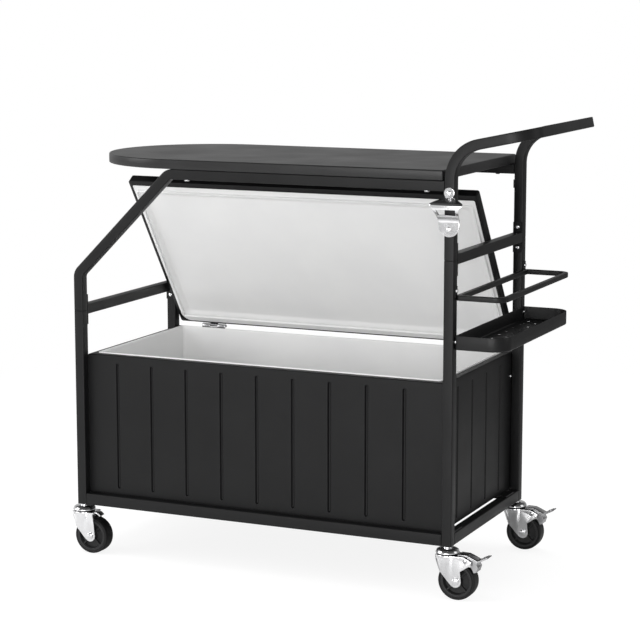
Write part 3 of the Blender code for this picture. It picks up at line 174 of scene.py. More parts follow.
HINGE_LEAF_HEIGHT = 0.022
HINGE_BORE = 0.0017
HINGE_SCREW_RISE = 0.015
HINGE_SCREW_PITCH = 0.020

# Casters
RACE_RADIUS = 0.025
STEM = mm((6, 25), (6, -0.3), (9, -0.3), (9.4, -0.7), (9.4, -2.6), (9, -3.2), (11, -3.4), (15, -3.6),
          (19.5, -4.4), (22.2, -6), (23.8, -8), (24.5, -10), (25, -10.8), (25, -12.2), (24.3, -13),
          (22.6, -13.8), (20, -15.5), (5.6, -15.5), (5.6, -20.1), (8.6, -20.1), (9, -20.6),
          (8.8, -21.8), (7.4, -22.8), (4, -23.2))
RACE_FOOT = 0.0155
FORK_CROWN = 0.004
FORK_CROWN_EDGE = 0.0018
FORK_CROWN_EDGE_SHARE = 0.3
FORK_CROWN_CORNERS = (0.012, 0.003, 0.003, 0.012)
FORK_DISC_SHARES = ((0.0235, 1), (0.024, 0.7), (0.024, 0.3), (0.0235, 0))
FORK_HOLE = 0.006
FORK_TAB = mm((28, 0), (28, -3), (37, -4.6), (43, -9.2), (45.2, -7), (39, -1.6))
FORK_TAB_HALF = 0.009
FORK_BEVEL = 0.00035
FORK_PLATE = 0.0025
FORK_INNER_HALF = 0.0172
FORK_NOSE = 0.022
FORK_NOSE_FOOT = 0.014
FORK_NOSE_HEIGHT = 0.046
FORK_NOSE_SHARES = ((0.99, 0.006), (0.95, 0.012))
FORK_TIP = 0.012
FORK_BACK = 0.010
FORK_TAIL = 0.030
FORK_NOTCH_HEIGHT = 0.046
EAR_ROOT = 0.040
EAR_REACH = 0.057
EAR_TOP = 0.024
EAR_FOOT = 0.034
EAR_FOOT_INNER = 0.052
AXLE_TRAIL = 0.024
AXLE_DROP = 0.0685
AXLE = 0.004
AXLE_HOLE = 0.0043
AXLE_ENDS = (0.0035, 0.0036)
AXLE_NUT = mm((6.8, 0), (6.8, 2.6), (6.2, 3.4), (4.5, 4))
AXLE_HEAD = mm((6.6, 0), (7, 0.4), (7, 3.2), (6, 3.8))
AXLE_BEVEL = 0.0002
TREAD = mm((34.5, 13.5), (36.2, 14.7), (37.4, 15), (38.6, 14.6), (39.5, 13), (39.9, 10.5), (40, 7), (40, 0))
HUB = mm((4.4, 16.5), (9.8, 16.5), (10.6, 15.8), (11, 6.2), (11.8, 5), (26.2, 5), (27.2, 6), (28.4, 13.6),
         (29, 14.6), (30.4, 15), (33.8, 14.8), (34.7, 14), (34.7, 0))
HUB_RIB_ENDS = (0.0100, 0.0292)
HUB_RIB_SIDES = (0.0045, 0.0125)
HUB_RIB_HALF = 0.0014
FORK_ROLL = 0.0075
FORK_ROLL_DEPTH = 0.0060
FORK_RIB = 0.0011
FORK_ROLL_SHARES = (0.03, 0.09, 0.18, 0.30, 0.45, 0.62, 0.80, 1.0)
FORK_RIB_SHARES = ((0.0016, 0), (0.0034, 0.25), (0.0048, 0.85), (0.0062, 1), (0.0136, 1), (0.0150, 0.85),
                   (0.0164, 0.25), (0.0180, 0))
BRAKE_PIVOT_REACH = 0.044
BRAKE_PIVOT_DROP = 0.024
PIVOT_HOLE = 0.0028
PIVOT_HOLE_HALF = 0.02
PIN_HEAD = mm((2.8, 1.5), (4.2, 0.9), (4.2, 0), (2.5, 0))
PEDAL_HALF_WIDTH = 0.013
PEDAL_PLATE = 0.0025
PEDAL = mm((-17.2, 11.5), (-15, 11.6), (2, 11.2), (4, 10), (7, 9.2), (20, 3.6), (23, 1.8), (26.2, 2.4),
           (44, 11), (45.5, 11.8), (47, 9.6), (45.5, 8.6), (26.8, -0.6), (23.5, -1.4), (23.2, -6),
           (26.2, -11.8), (22.6, -22.2), (17.8, -23.6), (17, -23.2), (19, -20), (22.2, -12), (20, -7),
           (19.8, -0.4), (17, 1.8), (6, 6.6), (4, 6), (3, 8.6), (-17.2, 9))
PEDAL_CHEEK = mm((-3, 9.5), (-3, -3), (-1, -4.5), (4.5, -4.5), (13, -15), (17.2, -23.2), (21, -20),
                 (23, -11.8), (21, -0.5), (20.5, 2), (6, 7.5))
PEDAL_TOE = (0.0262, 0.0027)
PEDAL_TOE_SLOPE = 0.0086 / 0.0178
PEDAL_RIB = 0.0011
PEDAL_RIB_HALF = 0.0115
PEDAL_FIRST_RIB = 0.033
PEDAL_RIB_PITCH = 0.0042

# Opener
OPENER_REACH = 0.024
OPENER_PLATE = 0.0020
OPENER_BEVEL = 0.0004
OPENER_BEVEL_ANGLE = radians(50)
OPENER_FOOT = (0.658, 0.022, -86, 0, 10)
OPENER_LOBE = (0.7237, 0.0108, -50, 86, 12)
OPENER_ROWS = mm((664, 0, 22, 0), (669, 0, 21.9, 0), (670.2, 0.6, 22, 0), (674, 4, 22.6, 0),
                 (678, 7.6, 23.2, 0), (679.6, 9, 23.4, 0), (681, 10, 23.6, 0), (683, 12.6, 24, 0.4),
                 (687, 17, 25.2, 0.8), (691, 20.6, 26.6, 1.2), (692.5, 21.3, 27.4, 1.4),
                 (696, 21.7, 30, 1.8), (699.5, 21.7, 33.4, 2.2), (701.2, 21.2, 34.4, 2.4),
                 (702.2, 20, 34.7, 2.4), (704.4, 16, 31, 2), (707, 11, 25.2, 1.4), (710, 5.2, 17.6, 0.8),
                 (711.8, 2, 13, 0.3), (712.8, 0.6, 10.4, 0), (713.6, 0, 8.8, 0))
OPENER_WINDOW = (0.6805, 0.6915)
OPENER_COLUMNS = 24
OPENER_STRUT_COLUMNS = 3
OPENER_HOLE = 0.0021
OPENER_HOLE_HALF = 0.02
OPENER_SCREWS = {"upper": 0.7237, "lower": 0.651}

# Tray and wire rail
TRAY_TOP = 0.436
TRAY_BOTTOM = 0.407
TRAY_WALL = 0.0012
TRAY_FRONT = 0.008
TRAY_REAR_SETBACK = 0.0066
TRAY_DEPTH = 0.108
TRAY_OUTER_CORNER = 0.039
TRAY_INNER_CORNER = 0.004
TRAY_LEAST_CORNER = 0.0002
TRAY_FLOOR_EDGE = 0.003
TRAY_HOLE = 0.0042
TRAY_FIRST_ROW = 0.0215
TRAY_ROW_PITCH = 0.023
TRAY_FIRST_HOLE = 0.022
TRAY_HOLE_PITCH = 0.047
TRAY_HOLE_MARGIN = 0.003
TRAY_HOLE_EDGE = 0.0002
TRAY_SCREW_HEIGHT = 0.424
WIRE = 0.0105
WIRE_BOTTOM = 0.508
WIRE_DEPTH = 0.106
WIRE_BEND = 0.020
WIRE_INNER_BEND = 0.0005
WIRE_CORNER = 0.0014
WIRE_FACET = radians(6)
WIRE_TAB_WIDTH = 0.012
WIRE_TAB_TOP = 0.536
WIRE_TAB = 0.002
WIRE_SCREW_HEIGHT = 0.5275

# Screw heads: radius and height, and the outline of their dome as shares of these
FRAME_SCREW = (0.0046, 0.0026)
WIRE_SCREW = (0.0046, 0.0028)
HINGE_SCREW = (0.0031, 0.0011)
OPENER_SCREW = (0.0044, 0.0019)
RAIL_SCREW = (0.0056, 0.0034)
REAR_RAIL_SCREW = (0.0050, 0.0026)
RAIL_SCREW_PLACES = (0.275, 0.817)
BODY_BOLT = (0.0036, 0.0026)
BODY_BOLT_Y = 0.4155
BODY_BOLT_HEIGHT = 0.282
SCREW_SHARES = ((0.98, 0), (1, 0.25), (0.94, 0.6), (0.72, 0.88), (0.35, 1))
SLOT_SHARES = ((0.55, 0.13), (0.13, 0.55))
SLOT_HEIGHT_SHARES = (0.45, 1.5)

# Stop on the rear right upright
STOP_X = (-0.0026, -0.0001)
STOP_Y = (0.423, 0.433)
STOP_Z = (0.696, 0.714)
STOP_BEVEL = 0.0008

# Camera: lens, place, fall and turn
LENS = 116.88
CAMERA_PLACE = (2.3316, -3.8453, 1.1370)
CAMERA_FALL = radians(9.242)
CAMERA_TURN = radians(24.399)
CAMERA_SENSOR = 36
CAMERA_REACH = 60

# Lamps: place, width and height, power
LAMP_TARGET = (0, 0, 0.45)
LAMPS = {
    "overhead": ((-0.3, 0.2, 2.9), (3.0, 2.4), 56),
    "left_bank": ((-2.8, -1.6, 1.7), (1.8, 2.2), 40),
    "front_fill": ((0.6, -3.8, 1.0), (2.6, 1.4), 62),
    "right_rim": ((3.0, 0.6, 1.5), (1.4, 2.0), 8),
}

# Floor and surround, where the ramps give start, end, first and last level
FLOOR_HALF = 14.0
FLOOR_ROUGHNESS = 0.9
FLOOR_SPECULAR = 0.1
FLOOR_GLOW = 0.86
FLOOR_SHADE = (0.19, 0.19, 0.19, 1)
FLOOR_FADE = (0.9, 2.4)
FLOOR_COLOUR = 0.80
# Painted shade: the floor's colour as glossy surfaces mirror it, darker towards the right and the back
FLOOR_PAINTED_SHADE_IN_MIRRORS = (0.1, 1.6, 0.80, 0.28)
SKY_LEVEL = 0.60
SKY_MIRRORED = (-0.2, 0.9, 0.68, 0.26)
SKY_UPWARD = (0.25, 0.65, 1.0, 0.12)
RIGHT_AND_BACK = (0.707, 0.707, 0)

# Where noise starts and ends to change a colour and a roughness
MOTTLE_PLACES = (0.35, 0.65)
SPREAD_PLACES = (0.3, 0.7)
GRAIN_DETAIL = 2.0

# Sizes and places worked out from the values above
HALF_TUBE = TUBE / 2
LEG_FAR_X = FRAME_LENGTH - TUBE
LEG_FAR_Y = FRAME_DEPTH - TUBE
LEG_CENTRES_X = {"left": HALF_TUBE, "right": FRAME_LENGTH - HALF_TUBE}
LEG_CENTRES_Y = {"front": HALF_TUBE, "rear": FRAME_DEPTH - HALF_TUBE}
SEAMS = {"left": LEFT_SEAM, "right": RIGHT_SEAM}
TOP_RIGHT_END = FRAME_LENGTH - TOP_RIGHT_SETBACK
HANDLE_REACH = FRAME_LENGTH + HANDLE_OVERHANG
BODY_LEFT = TUBE + GAP
BODY_RIGHT = LEG_FAR_X - GAP
BODY_REAR = FRAME_DEPTH - BODY_REAR_SETBACK
BODY_LENGTH = BODY_RIGHT - BODY_LEFT
BODY_DEPTH = BODY_REAR - BODY_FRONT
BODY_HEIGHT = BODY_TOP - BODY_BOTTOM
FLANGE_UNDERSIDE = BODY_TOP + GAP
FLANGE_TOP = FLANGE_UNDERSIDE + TUB_WALL
TUB_UNDERSIDE = BODY_BOTTOM + SHEET + GAP + FLOOR_FOAM + GAP
TUB_FLOOR = TUB_UNDERSIDE + TUB_WALL
DRAIN_Y = (BODY_FRONT + BODY_REAR) / 2
LID_LEFT = LID_SIDE_SETBACK
LID_RIGHT = FRAME_LENGTH - LID_SIDE_SETBACK
LID_REAR = BODY_REAR
LID_DISH_START = GASKET_INSET + GASKET_WIDTH + GASKET_MARGIN
HINGE_Y = LID_REAR + HINGE_SETBACK
HINGE_Z = LID_UNDERSIDE - HINGE_DROP
HINGE_CENTRES = {"left": HINGE_END_DISTANCE, "right": FRAME_LENGTH - HINGE_END_DISTANCE}
LEAF_FACE = GAP + HINGE_LEAF - HINGE_SETBACK
CART_REAR = HINGE_Y + LEAF_FACE * cos(LID_OPEN_ANGLE) + HINGE_LEAF_HEIGHT * sin(LID_OPEN_ANGLE)
FORK_TOP = -RACE_FOOT - GAP
FORK_OUTER_HALF = FORK_INNER_HALF + FORK_PLATE
TRAY_REACH = FRAME_LENGTH + TRAY_DEPTH
TRAY_REAR = FRAME_DEPTH - TRAY_REAR_SETBACK
WIRE_REACH = FRAME_LENGTH + WIRE_DEPTH
CENTRE_X = (HALF_TUBE - RACE_RADIUS + HANDLE_REACH) / 2
CENTRE_Y = (CART_REAR - OPENER_REACH) / 2
CART = Matrix.Translation((-CENTRE_X, -CENTRE_Y, CASTER_HEIGHT))
LID = CART @ Matrix.Translation((0, HINGE_Y, HINGE_Z)) @ Matrix.Rotation(-LID_OPEN_ANGLE, 4, 'X')


def put(node, **values):
    """Sets the sockets of these names, with _ for a space, and returns the node."""
    for name, value in values.items():
        node.inputs[name.replace("_", " ")].default_value = value
    return node


def add(tree, kind, **values):
    """A new shader node with the values of its sockets."""
    return put(tree.nodes.new(f"ShaderNode{kind}"), **values)


def ramp(tree, source, start, end, first=0.0, last=1.0):
    """A level that goes from a first to a last value while its source goes from a start to an end."""
    made = add(tree, "MapRange", From_Min=start, From_Max=end, To_Min=first, To_Max=last)
    tree.links.new(source, made.inputs["Value"])
    return made.outputs["Result"]


def noise(tree, scale, detail):
    """A noise texture in the piece's own axes."""
    texture = add(tree, "TexNoise", Scale=scale, Detail=detail)
    tree.links.new(add(tree, "TexCoord").outputs["Object"], texture.inputs["Vector"])
    return texture.outputs[0]


def make_finish(name, kind, low, high, roughness, grain, strength, specular=0.5):
    """A Principled finish with mottled colour and roughness, and a fine grain in its surface."""
    metallic, broad, less, more, distance = FINISH_KINDS[kind]
    made = bpy.data.materials.new(name)
    made.use_nodes = True
    tree = made.node_tree
    link = tree.links.new
    shader = put(tree.nodes["Principled BSDF"], Base_Color=(*low, 1.0), Roughness=roughness,
                 Metallic=metallic, Specular_IOR_Level=specular)
    blotches = noise(tree, *broad)
    colour = add(tree, "ValToRGB")
    for stop, place, shade in zip(colour.color_ramp.elements, MOTTLE_PLACES, (low, high)):
        stop.position = place
        stop.color = (*shade, 1.0)
    link(blotches, colour.inputs["Fac"])
    link(colour.outputs["Color"], shader.inputs["Base Color"])
    level = ramp(tree, blotches, *SPREAD_PLACES, roughness - less, roughness + more)
    link(level, shader.inputs["Roughness"])
    raised = add(tree, "Bump", Strength=strength, Distance=distance)
    link(noise(tree, grain, GRAIN_DETAIL) if grain else blotches, raised.inputs["Height"])
    link(raised.outputs["Normal"], shader.inputs["Normal"])
    return made


# Powder coat, moulded plastic or foam, and plated steel: metallic, scale and detail of the blotches,
# how far the roughness falls and rises, and the height of the grain
FINISH_KINDS = {
    "coated": (0.0, (9.0, 4.0), 0.04, 0.04, 0.0002),
    "moulded": (0.0, (6.0, 3.0), 0.03, 0.05, 0.0002),
    "plated": (1.0, (60.0, 4.0), 0.02, 0.05, 0.0001),
}
# Kind, darkest and lightest colour, roughness, scale and strength of the grain, specular level
FINISHES = {
    "frame_paint": ("coated", (0.0050, 0.0050, 0.0053), (0.0065, 0.0065, 0.0068), 0.40, 1400, 0.10, 0.28),
    "panel_paint": ("coated", (0.0045, 0.0045, 0.0048), (0.0060, 0.0060, 0.0063), 0.44, 1400, 0.10, 0.25),
    "table_board": ("coated", (0.0125, 0.0125, 0.0128), (0.0155, 0.0155, 0.0158), 0.36, 900, 0.14, 0.38),
    "liner_plastic": ("moulded", (0.80, 0.80, 0.80), (0.83, 0.83, 0.825), 0.36, 700, 0.04),
    "foam": ("moulded", (0.78, 0.72, 0.56), (0.84, 0.79, 0.64), 0.90, 500, 0.40),
    "black_plastic": ("moulded", (0.018, 0.018, 0.019), (0.024, 0.024, 0.025), 0.50, 900, 0.10, 0.3),
    "wheel_plastic": ("moulded", (0.005, 0.005, 0.0052), (0.008, 0.008, 0.0083), 0.50, 800, 0.12, 0.26),
    "hub_plastic": ("moulded", (0.016, 0.016, 0.0165), (0.022, 0.022, 0.0225), 0.46, 800, 0.10, 0.3),
    "chrome": ("plated", (0.80, 0.80, 0.81), (0.88, 0.88, 0.89), 0.13, None, 0.02),
    "zinc_steel": ("plated", (0.46, 0.46, 0.47), (0.56, 0.56, 0.57), 0.22, None, 0.04),
}
MATERIALS = {name: make_finish(name, *values) for name, values in FINISHES.items()}


def flatten(made, finish):
    """Turns a piece and its modifiers into one plain mesh with its finish and soft shading."""
    graph = bpy.context.evaluated_depsgraph_get()
    mesh = bpy.data.meshes.new_from_object(made.evaluated_get(graph))
    old = made.data
    made.modifiers.clear()
    made.data = mesh
    bpy.data.meshes.remove(old)
    mesh.materials.clear()
    mesh.materials.append(MATERIALS[finish])
    mesh.shade_smooth()
    mesh.set_sharp_from_angle(angle=SHARP)


def raw_object(name, bm):
    """A linked object with outward faces and no finish yet."""
    bmesh.ops.recalc_face_normals(bm, faces=bm.faces)
    mesh = bpy.data.meshes.new(name)
    bm.to_mesh(mesh)
    bm.free()
    made = bpy.data.objects.new(name, mesh)
    bpy.context.scene.collection.objects.link(made)
    return made


def piece(name, bm, finish, body="cart", nodes=(), place=CART, cuts=(), joins=(), bevel=0.0,
          bevel_angle=BEVEL_ANGLE, plate=0.0, slot=None):
    """A finished piece that rides on a body and stands for CAD nodes; its tools are in its own axes."""
    made = raw_object(name, bm)
    tools = []
    if plate:
        modifier = made.modifiers.new("plate", 'SOLIDIFY')
        modifier.thickness = plate
        modifier.offset = -1
    steps = [("UNION", tool) for tool in joins]
    steps += [("DIFFERENCE", tool) for tool in cuts]
    for operation, tool_bm in steps:
        tool = raw_object(f"{name}_tool", tool_bm)
        tools.append(tool)
        modifier = made.modifiers.new(operation, 'BOOLEAN')
        modifier.operation = operation
        modifier.solver = 'EXACT'
        modifier.object = tool
    if bevel:
        modifier = made.modifiers.new("edge", 'BEVEL')
        modifier.width = bevel
        modifier.segments = 2
        modifier.limit_method = 'ANGLE'
        modifier.angle_limit = bevel_angle
    flatten(made, finish)
    for tool in tools:
        mesh = tool.data
        bpy.data.objects.remove(tool)
        bpy.data.meshes.remove(mesh)
    made.matrix_world = place
    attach(made, body)
    if nodes:
        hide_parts(*nodes)


def stand_in(node, bm, finish, body="cart", **rest):
    """The finely shaped piece for the CAD node of the same name."""
    piece(f"{node}_fine", bm, finish, body, [node], **rest)


def loft(rings, closed=False, bm=None):
    """Skins rings of equal count; the ends are capped unless the loft is closed."""
    bm = bm or bmesh.new()
    rows = [[bm.verts.new(point) for point in ring] for ring in rings]
    pairs = list(zip(rows, rows[1:]))
    if closed:
        pairs.append((rows[-1], rows[0]))
    for low, high in pairs:
        for index, vertex in enumerate(low):
            after = (index + 1) % len(low)
            bm.faces.new((vertex, low[after], high[after], high[index]))
    if not closed:
        bm.faces.new(rows[0])
        bm.faces.new(rows[-1])
    return bm


def box(low, high):
    """A block between two opposite corners."""
    (left, near, bottom), (right, far, top) = low, high
    corners = ((left, near), (right, near), (right, far), (left, far))
    return loft([[(x, y, z) for x, y in corners] for z in (bottom, top)])


def rounded_rectangle(low, high, radii, steps):
    """An outline whose corner radii start at the low corner and go round anticlockwise."""
    (left, near), (right, far) = low, high
    corners = ((left, near, 1, 1), (right, near, -1, 1), (right, far, -1, -1), (left, far, 1, -1))
    points = []
    for quarter, ((x, y, way_x, way_y), radius) in enumerate(zip(corners, radii)):
        for step in range(steps + 1):
            angle = pi * (1 + quarter / 2 + step / steps / 2)
            points.append((x + radius * (way_x + cos(angle)), y + radius * (way_y + sin(angle))))
    return points


def turned(profile, steps, at=Matrix.Identity(4), closed=False, bm=None):
    """Turns a profile of radius and height about Z, then moves it."""
    turns = [2 * pi * step / steps for step in range(steps)]
    rings = []
    for radius, height in profile:
        rings.append([at @ Vector((radius * cos(t), radius * sin(t), height)) for t in turns])
    return loft(rings, closed, bm)


def along_x(x, y, z):
    """Lays a turned shape along +X from a point."""
    return Matrix.Translation((x, y, z)) @ Matrix.Rotation(pi / 2, 4, 'Y')


def along_y(x, y, z, way=1):
    """Lays a turned shape along +Y from a point, or along -Y where way is -1."""
    return Matrix.Translation((x, y, z)) @ Matrix.Rotation(-way * pi / 2, 4, 'X')


def prism_y(outline, low, high):
    """Extrudes an outline of X and Z between two values of Y."""
    return loft([[(x, y, z) for x, z in outline] for y in (low, high)])


def bent_path(corners, radii, facet, closed=False):
    """Places and directions along straight runs that arcs join at the inner corners."""
    points = [Vector(corner) for corner in corners]
    last = len(points) - 1
    stations = []
    for index, (point, radius) in enumerate(zip(points, radii)):
        if not closed and index == 0:
            stations.append((point, (points[1] - point).normalized()))
            continue
        if not closed and index == last:
            stations.append((point, (point - points[index - 1]).normalized()))
            continue
        incoming = (point - points[index - 1]).normalized()
        outgoing = (points[(index + 1) % len(points)] - point).normalized()
        turn = incoming.angle(outgoing)
        start = point - incoming * radius * tan(turn / 2)
        axis = incoming.cross(outgoing).normalized()
        centre = start + axis.cross(incoming) * radius
        steps = round(turn / facet)
        for step in range(steps + 1):
            rotation = Matrix.Rotation(turn * step / steps, 3, axis)
            stations.append((centre + rotation @ (start - centre), rotation @ incoming))
    return stations


def swept_rings(stations, outline, side):
    """Copies of an outline along a path; side is the outline's first axis at the start."""
    across = Vector(side)
    before = stations[0][1]
    rings = []
    for point, tangent in stations:
        across = before.rotation_difference(tangent) @ across
        before = tangent
        other = tangent.cross(across)
        rings.append([point + across * u + other * v for u, v in outline])
    return rings


def tube_rings(corners, radii, side, width, height):
    """Rings of a round-cornered tube whose ends have a fine broken edge."""
    stations = bent_path(corners, radii, TUBE_FACET)
    (first, first_way), (last, last_way) = stations[0], stations[-1]
    stations = [(first, first_way), (first + first_way * TUBE_END, first_way)] + stations[1:-1]
    stations += [(last - last_way * TUBE_END, last_way), (last, last_way)]
    low = (-width / 2, -height / 2)
    high = (width / 2, height / 2)
    outline = rounded_rectangle(low, high, [TUBE_CORNER] * 4, TUBE_CORNER_STEPS)
    rings = swept_rings(stations, outline, side)
    share = 1 - 2 * TUBE_END / width
    for index, centre in ((0, first), (-1, last)):
        rings[index] = [centre + (point - centre) * share for point in rings[index]]
    return rings


def tube(name, corners, radii, side, width=TUBE, height=TUBE, joins=()):
    """A frame tube that stands for the node of the same name."""
    rings = tube_rings(corners, radii, side, width, height)
    stand_in(name, loft(rings), "frame_paint", joins=joins)


def screw(name, size, at, finish="chrome", body="cart", nodes=(), place=CART):
    """A domed screw head with two crossing slots; it rises along +Z of its place."""
    radius, height = size
    profile = [(radius * out, height * up) for out, up in SCREW_SHARES]
    low, high = SLOT_HEIGHT_SHARES
    slots = []
    for along, across in SLOT_SHARES:
        corner = (radius * along, radius * across)
        slots.append(box((-corner[0], -corner[1], height * low), (*corner, height * high)))
        slots[-1].transform(at)
    piece(name, turned(profile, 20, at), finish, body, nodes, place, slots)


def make_frame():
    """Legs, rails, crossbars, upper frames and push handle."""
    middle = BOTTOM_RAIL_HEIGHT / 2
    for across, y in LEG_CENTRES_Y.items():
        for side, x in LEG_CENTRES_X.items():
            tube(f"lower_leg_{across}_{side}", ((x, y, 0), (x, y, SEAMS[side])), (0, 0), (1, 0, 0))
        ends = ((TUBE + GAP, y, middle), (LEG_FAR_X - GAP, y, middle))
        tube(f"bottom_rail_{across}", ends, (0, 0), (0, 1, 0), TUBE, BOTTOM_RAIL_HEIGHT)
    for side, x in LEG_CENTRES_X.items():
        ends = ((x, TUBE + GAP, middle), (x, LEG_FAR_Y - GAP, middle))
        tube(f"bottom_rail_{side}", ends, (0, 0), (1, 0, 0), TUBE, BOTTOM_RAIL_HEIGHT)
        height = SEAMS[side] + CROSSBAR_RISE
        plates = (TUBE + GAP, LEG_FAR_Y - GAP - CROSSBAR_PLATE)
        joins = []
        for near in plates:
            low = (x - HALF_TUBE, near, height - CROSSBAR_PLATE_HEIGHT / 2)
            high = (x + HALF_TUBE, near + CROSSBAR_PLATE, height + CROSSBAR_PLATE_HEIGHT / 2)
            joins.append(box(low, high))
        ends = ((x, plates[0] + TUBE_END, height), (x, plates[1] + CROSSBAR_PLATE - TUBE_END, height))
        tube(f"crossbar_{side}", ends, (0, 0), (1, 0, 0), joins=joins)
        for place, facing, way in (("front", plates[0] + CROSSBAR_PLATE, 1), ("rear", plates[1], -1)):
            for level, rise in (("lower", -CROSSBAR_SCREW_RISE), ("upper", CROSSBAR_SCREW_RISE)):
                name = f"crossbar_screw_{side}_{place}_{level}"
                screw(name, FRAME_SCREW, along_y(x, facing, height + rise, way))
    slant_shift = HALF_TUBE / cos(SLANT_ANGLE)
    foot_z = SLANT_FOOT - slant_shift + HALF_TUBE
    rail_z = TOP_RAIL_TOP - HALF_TUBE
    for across, y in LEG_CENTRES_Y.items():
        corners = (
            (HALF_TUBE, y, LEFT_SEAM + GAP),
            (HALF_TUBE, y, foot_z),
            (rail_z - SLANT_FOOT + slant_shift, y, rail_z),
            (LEG_FAR_X - GAP, y, rail_z),
        )
        tube(f"upper_frame_{across}", corners, (0, SLANT_BEND, SLANT_BEND, 0), (0, 1, 0))
    upright = LEG_CENTRES_X["right"]
    near, far = LEG_CENTRES_Y["front"], LEG_CENTRES_Y["rear"]
    shoulder = HANDLE_BEND_START + HANDLE_BEND * tan((pi / 2 - HANDLE_TILT) / 2)
    end_x = HANDLE_REACH - HALF_TUBE * cos(HANDLE_TILT)
    end_x -= (HALF_TUBE - TUBE_CORNER) * sin(HANDLE_TILT)
    end_z = shoulder + (end_x - upright) * tan(HANDLE_TILT)
    corners = (
        (upright, near, RIGHT_SEAM + GAP),
        (upright, near, shoulder),
        (end_x, near, end_z),
        (end_x, far, end_z),
        (upright, far, shoulder),
        (upright, far, RIGHT_SEAM + GAP),
    )
    tube("push_handle", corners, (0, HANDLE_BEND, HANDLE_CORNER, HANDLE_CORNER, HANDLE_BEND, 0), (0, 1, 0))


def table_top_ring(height, inset):
    """A half round left end and a square right end with small corners, set in from the edge."""
    radius = FRAME_DEPTH / 2 - inset
    centre = FRAME_DEPTH / 2
    right = TOP_RIGHT_END - inset - TOP_CORNER
    points = []
    for quarter, y in enumerate((inset + TOP_CORNER, FRAME_DEPTH - inset - TOP_CORNER)):
        for step in range(5):
            angle = -pi / 2 + pi / 2 * (step / 4 + quarter)
            points.append((right + TOP_CORNER * cos(angle), y + TOP_CORNER * sin(angle), height))
    for step in range(TOP_STEPS + 1):
        angle = pi * (0.5 + step / TOP_STEPS)
        points.append((centre + radius * cos(angle), centre + radius * sin(angle), height))
    return points


def make_table_top():
    """The board on the top rails, with a softly rounded edge."""
    bottom = TOP_RAIL_TOP + GAP
    top = TOP_RAIL_TOP + TOP_THICKNESS
    low_edge = TOP_EDGE / 2
    levels = [(bottom, TOP_UNDERSIDE_INSET)]
    levels += [(bottom + low_edge * back, low_edge * fall) for back, fall in quarter_round(2)]
    levels += [(top - TOP_EDGE * fall, TOP_EDGE * back) for back, fall in quarter_round(5)]
    levels += [(top, inset) for inset in TOP_FACE_INSETS]
    stand_in("tabletop", loft([table_top_ring(*level) for level in levels]), "table_board")


def groove_depth(x, height, places, foot, head):
    """Depth of the nearest pressed groove; each runs between two heights and ends round."""
    nearest = min(places, key=lambda place: abs(place - x))
    beyond = max(foot - height, height - head, 0)
    reach = hypot(x - nearest, beyond)
    share = min(max((GROOVE_HALF - reach) / (GROOVE_HALF - GROOVE_FLOOR_HALF), 0), 1)
    return GROOVE_DEPTH * share * share * (3 - 2 * share)


def make_panel(name, length, first, pitch, corner, turn):
    """A grooved sheet with mitred ends and a rolled hem, drawn with its outer face on Y zero."""
    count = round((length - 2 * first) / pitch) + 1
    places = [first + pitch * index for index in range(count)]
    foot = GROOVE_FOOT + GROOVE_HALF
    head = BODY_HEIGHT - GROOVE_HEAD - GROOVE_HALF
    offsets = [GROOVE_HALF * share for share in GROOVE_COLUMN_SHARES]
    offsets += [-offset for offset in offsets[-2::-1]]
    columns = [0] + [place + offset for place in places for offset in offsets] + [length]
    steps = [GROOVE_HALF * share for share in GROOVE_ROW_SHARES]
    heights = [0] + [foot + step for step in steps] + [head - step for step in steps[::-1]]
    heights.append(BODY_HEIGHT - PANEL_EDGE)
    rows = [(0, height) for height in heights]
    rows += [(PANEL_EDGE * back, BODY_HEIGHT - PANEL_EDGE * fall) for back, fall in quarter_round(6)[1:]]
    rows += [(HEM_WIDTH - SHEET / 2, BODY_HEIGHT)]
    rows += [(HEM_WIDTH, BODY_HEIGHT - SHEET / 2), (HEM_WIDTH, BODY_HEIGHT - SHEET)]
    slit = GAP * sqrt(0.5)
    bm = bmesh.new()
    grid = []
    for depth, height in rows:
        row = []
        for x in columns:
            sunk = depth + groove_depth(x, height, places, foot, head)
            row.append(bm.verts.new((min(max(x, depth + slit), length - depth - slit), sunk, height)))
        grid.append(row)
    for low, high in zip(grid, grid[1:]):
        for index in range(len(low) - 1):
            bm.faces.new((low[index], low[index + 1], high[index + 1], high[index]))
    back = []
    inner = SHEET + GROOVE_DEPTH * PANEL_BACK_SHARE
    for x in (slit + SHEET, length - slit - SHEET):
        back.append([bm.verts.new((x, inner, height)) for height in (0, BODY_HEIGHT - SHEET)])
    (low_left, high_left), (low_right, high_right) = back
    bm.faces.new((low_left, low_right, high_right, high_left))
    bm.faces.new([*grid[0], low_right, low_left])
    bm.faces.new([*grid[-1], high_right, high_left])
    bm.faces.new([*[row[0] for row in grid], high_left, low_left])
    bm.faces.new([*[row[-1] for row in grid], high_right, low_right])
    place = CART @ Matrix.Translation((*corner, BODY_BOTTOM)) @ Matrix.Rotation(turn, 4, 'Z')
    stand_in(name, bm, "panel_paint", place=place)


def make_body_panels():
    """The four grooved sheets of the cooler body."""
    quarter = pi / 2
    long_grooves = (LONG_PANEL_FIRST_GROOVE, LONG_PANEL_PITCH)
    side_grooves = (SIDE_PANEL_FIRST_GROOVE, SIDE_PANEL_PITCH)
    make_panel("body_panel_front", BODY_LENGTH, *long_grooves, (BODY_LEFT, BODY_FRONT), 0)
    make_panel("body_panel_right", BODY_DEPTH, *side_grooves, (BODY_RIGHT, BODY_FRONT), quarter)
    make_panel("body_panel_rear", BODY_LENGTH, *long_grooves, (BODY_RIGHT, BODY_REAR), 2 * quarter)
    make_panel("body_panel_left", BODY_DEPTH, *side_grooves, (BODY_LEFT, BODY_REAR), 3 * quarter)


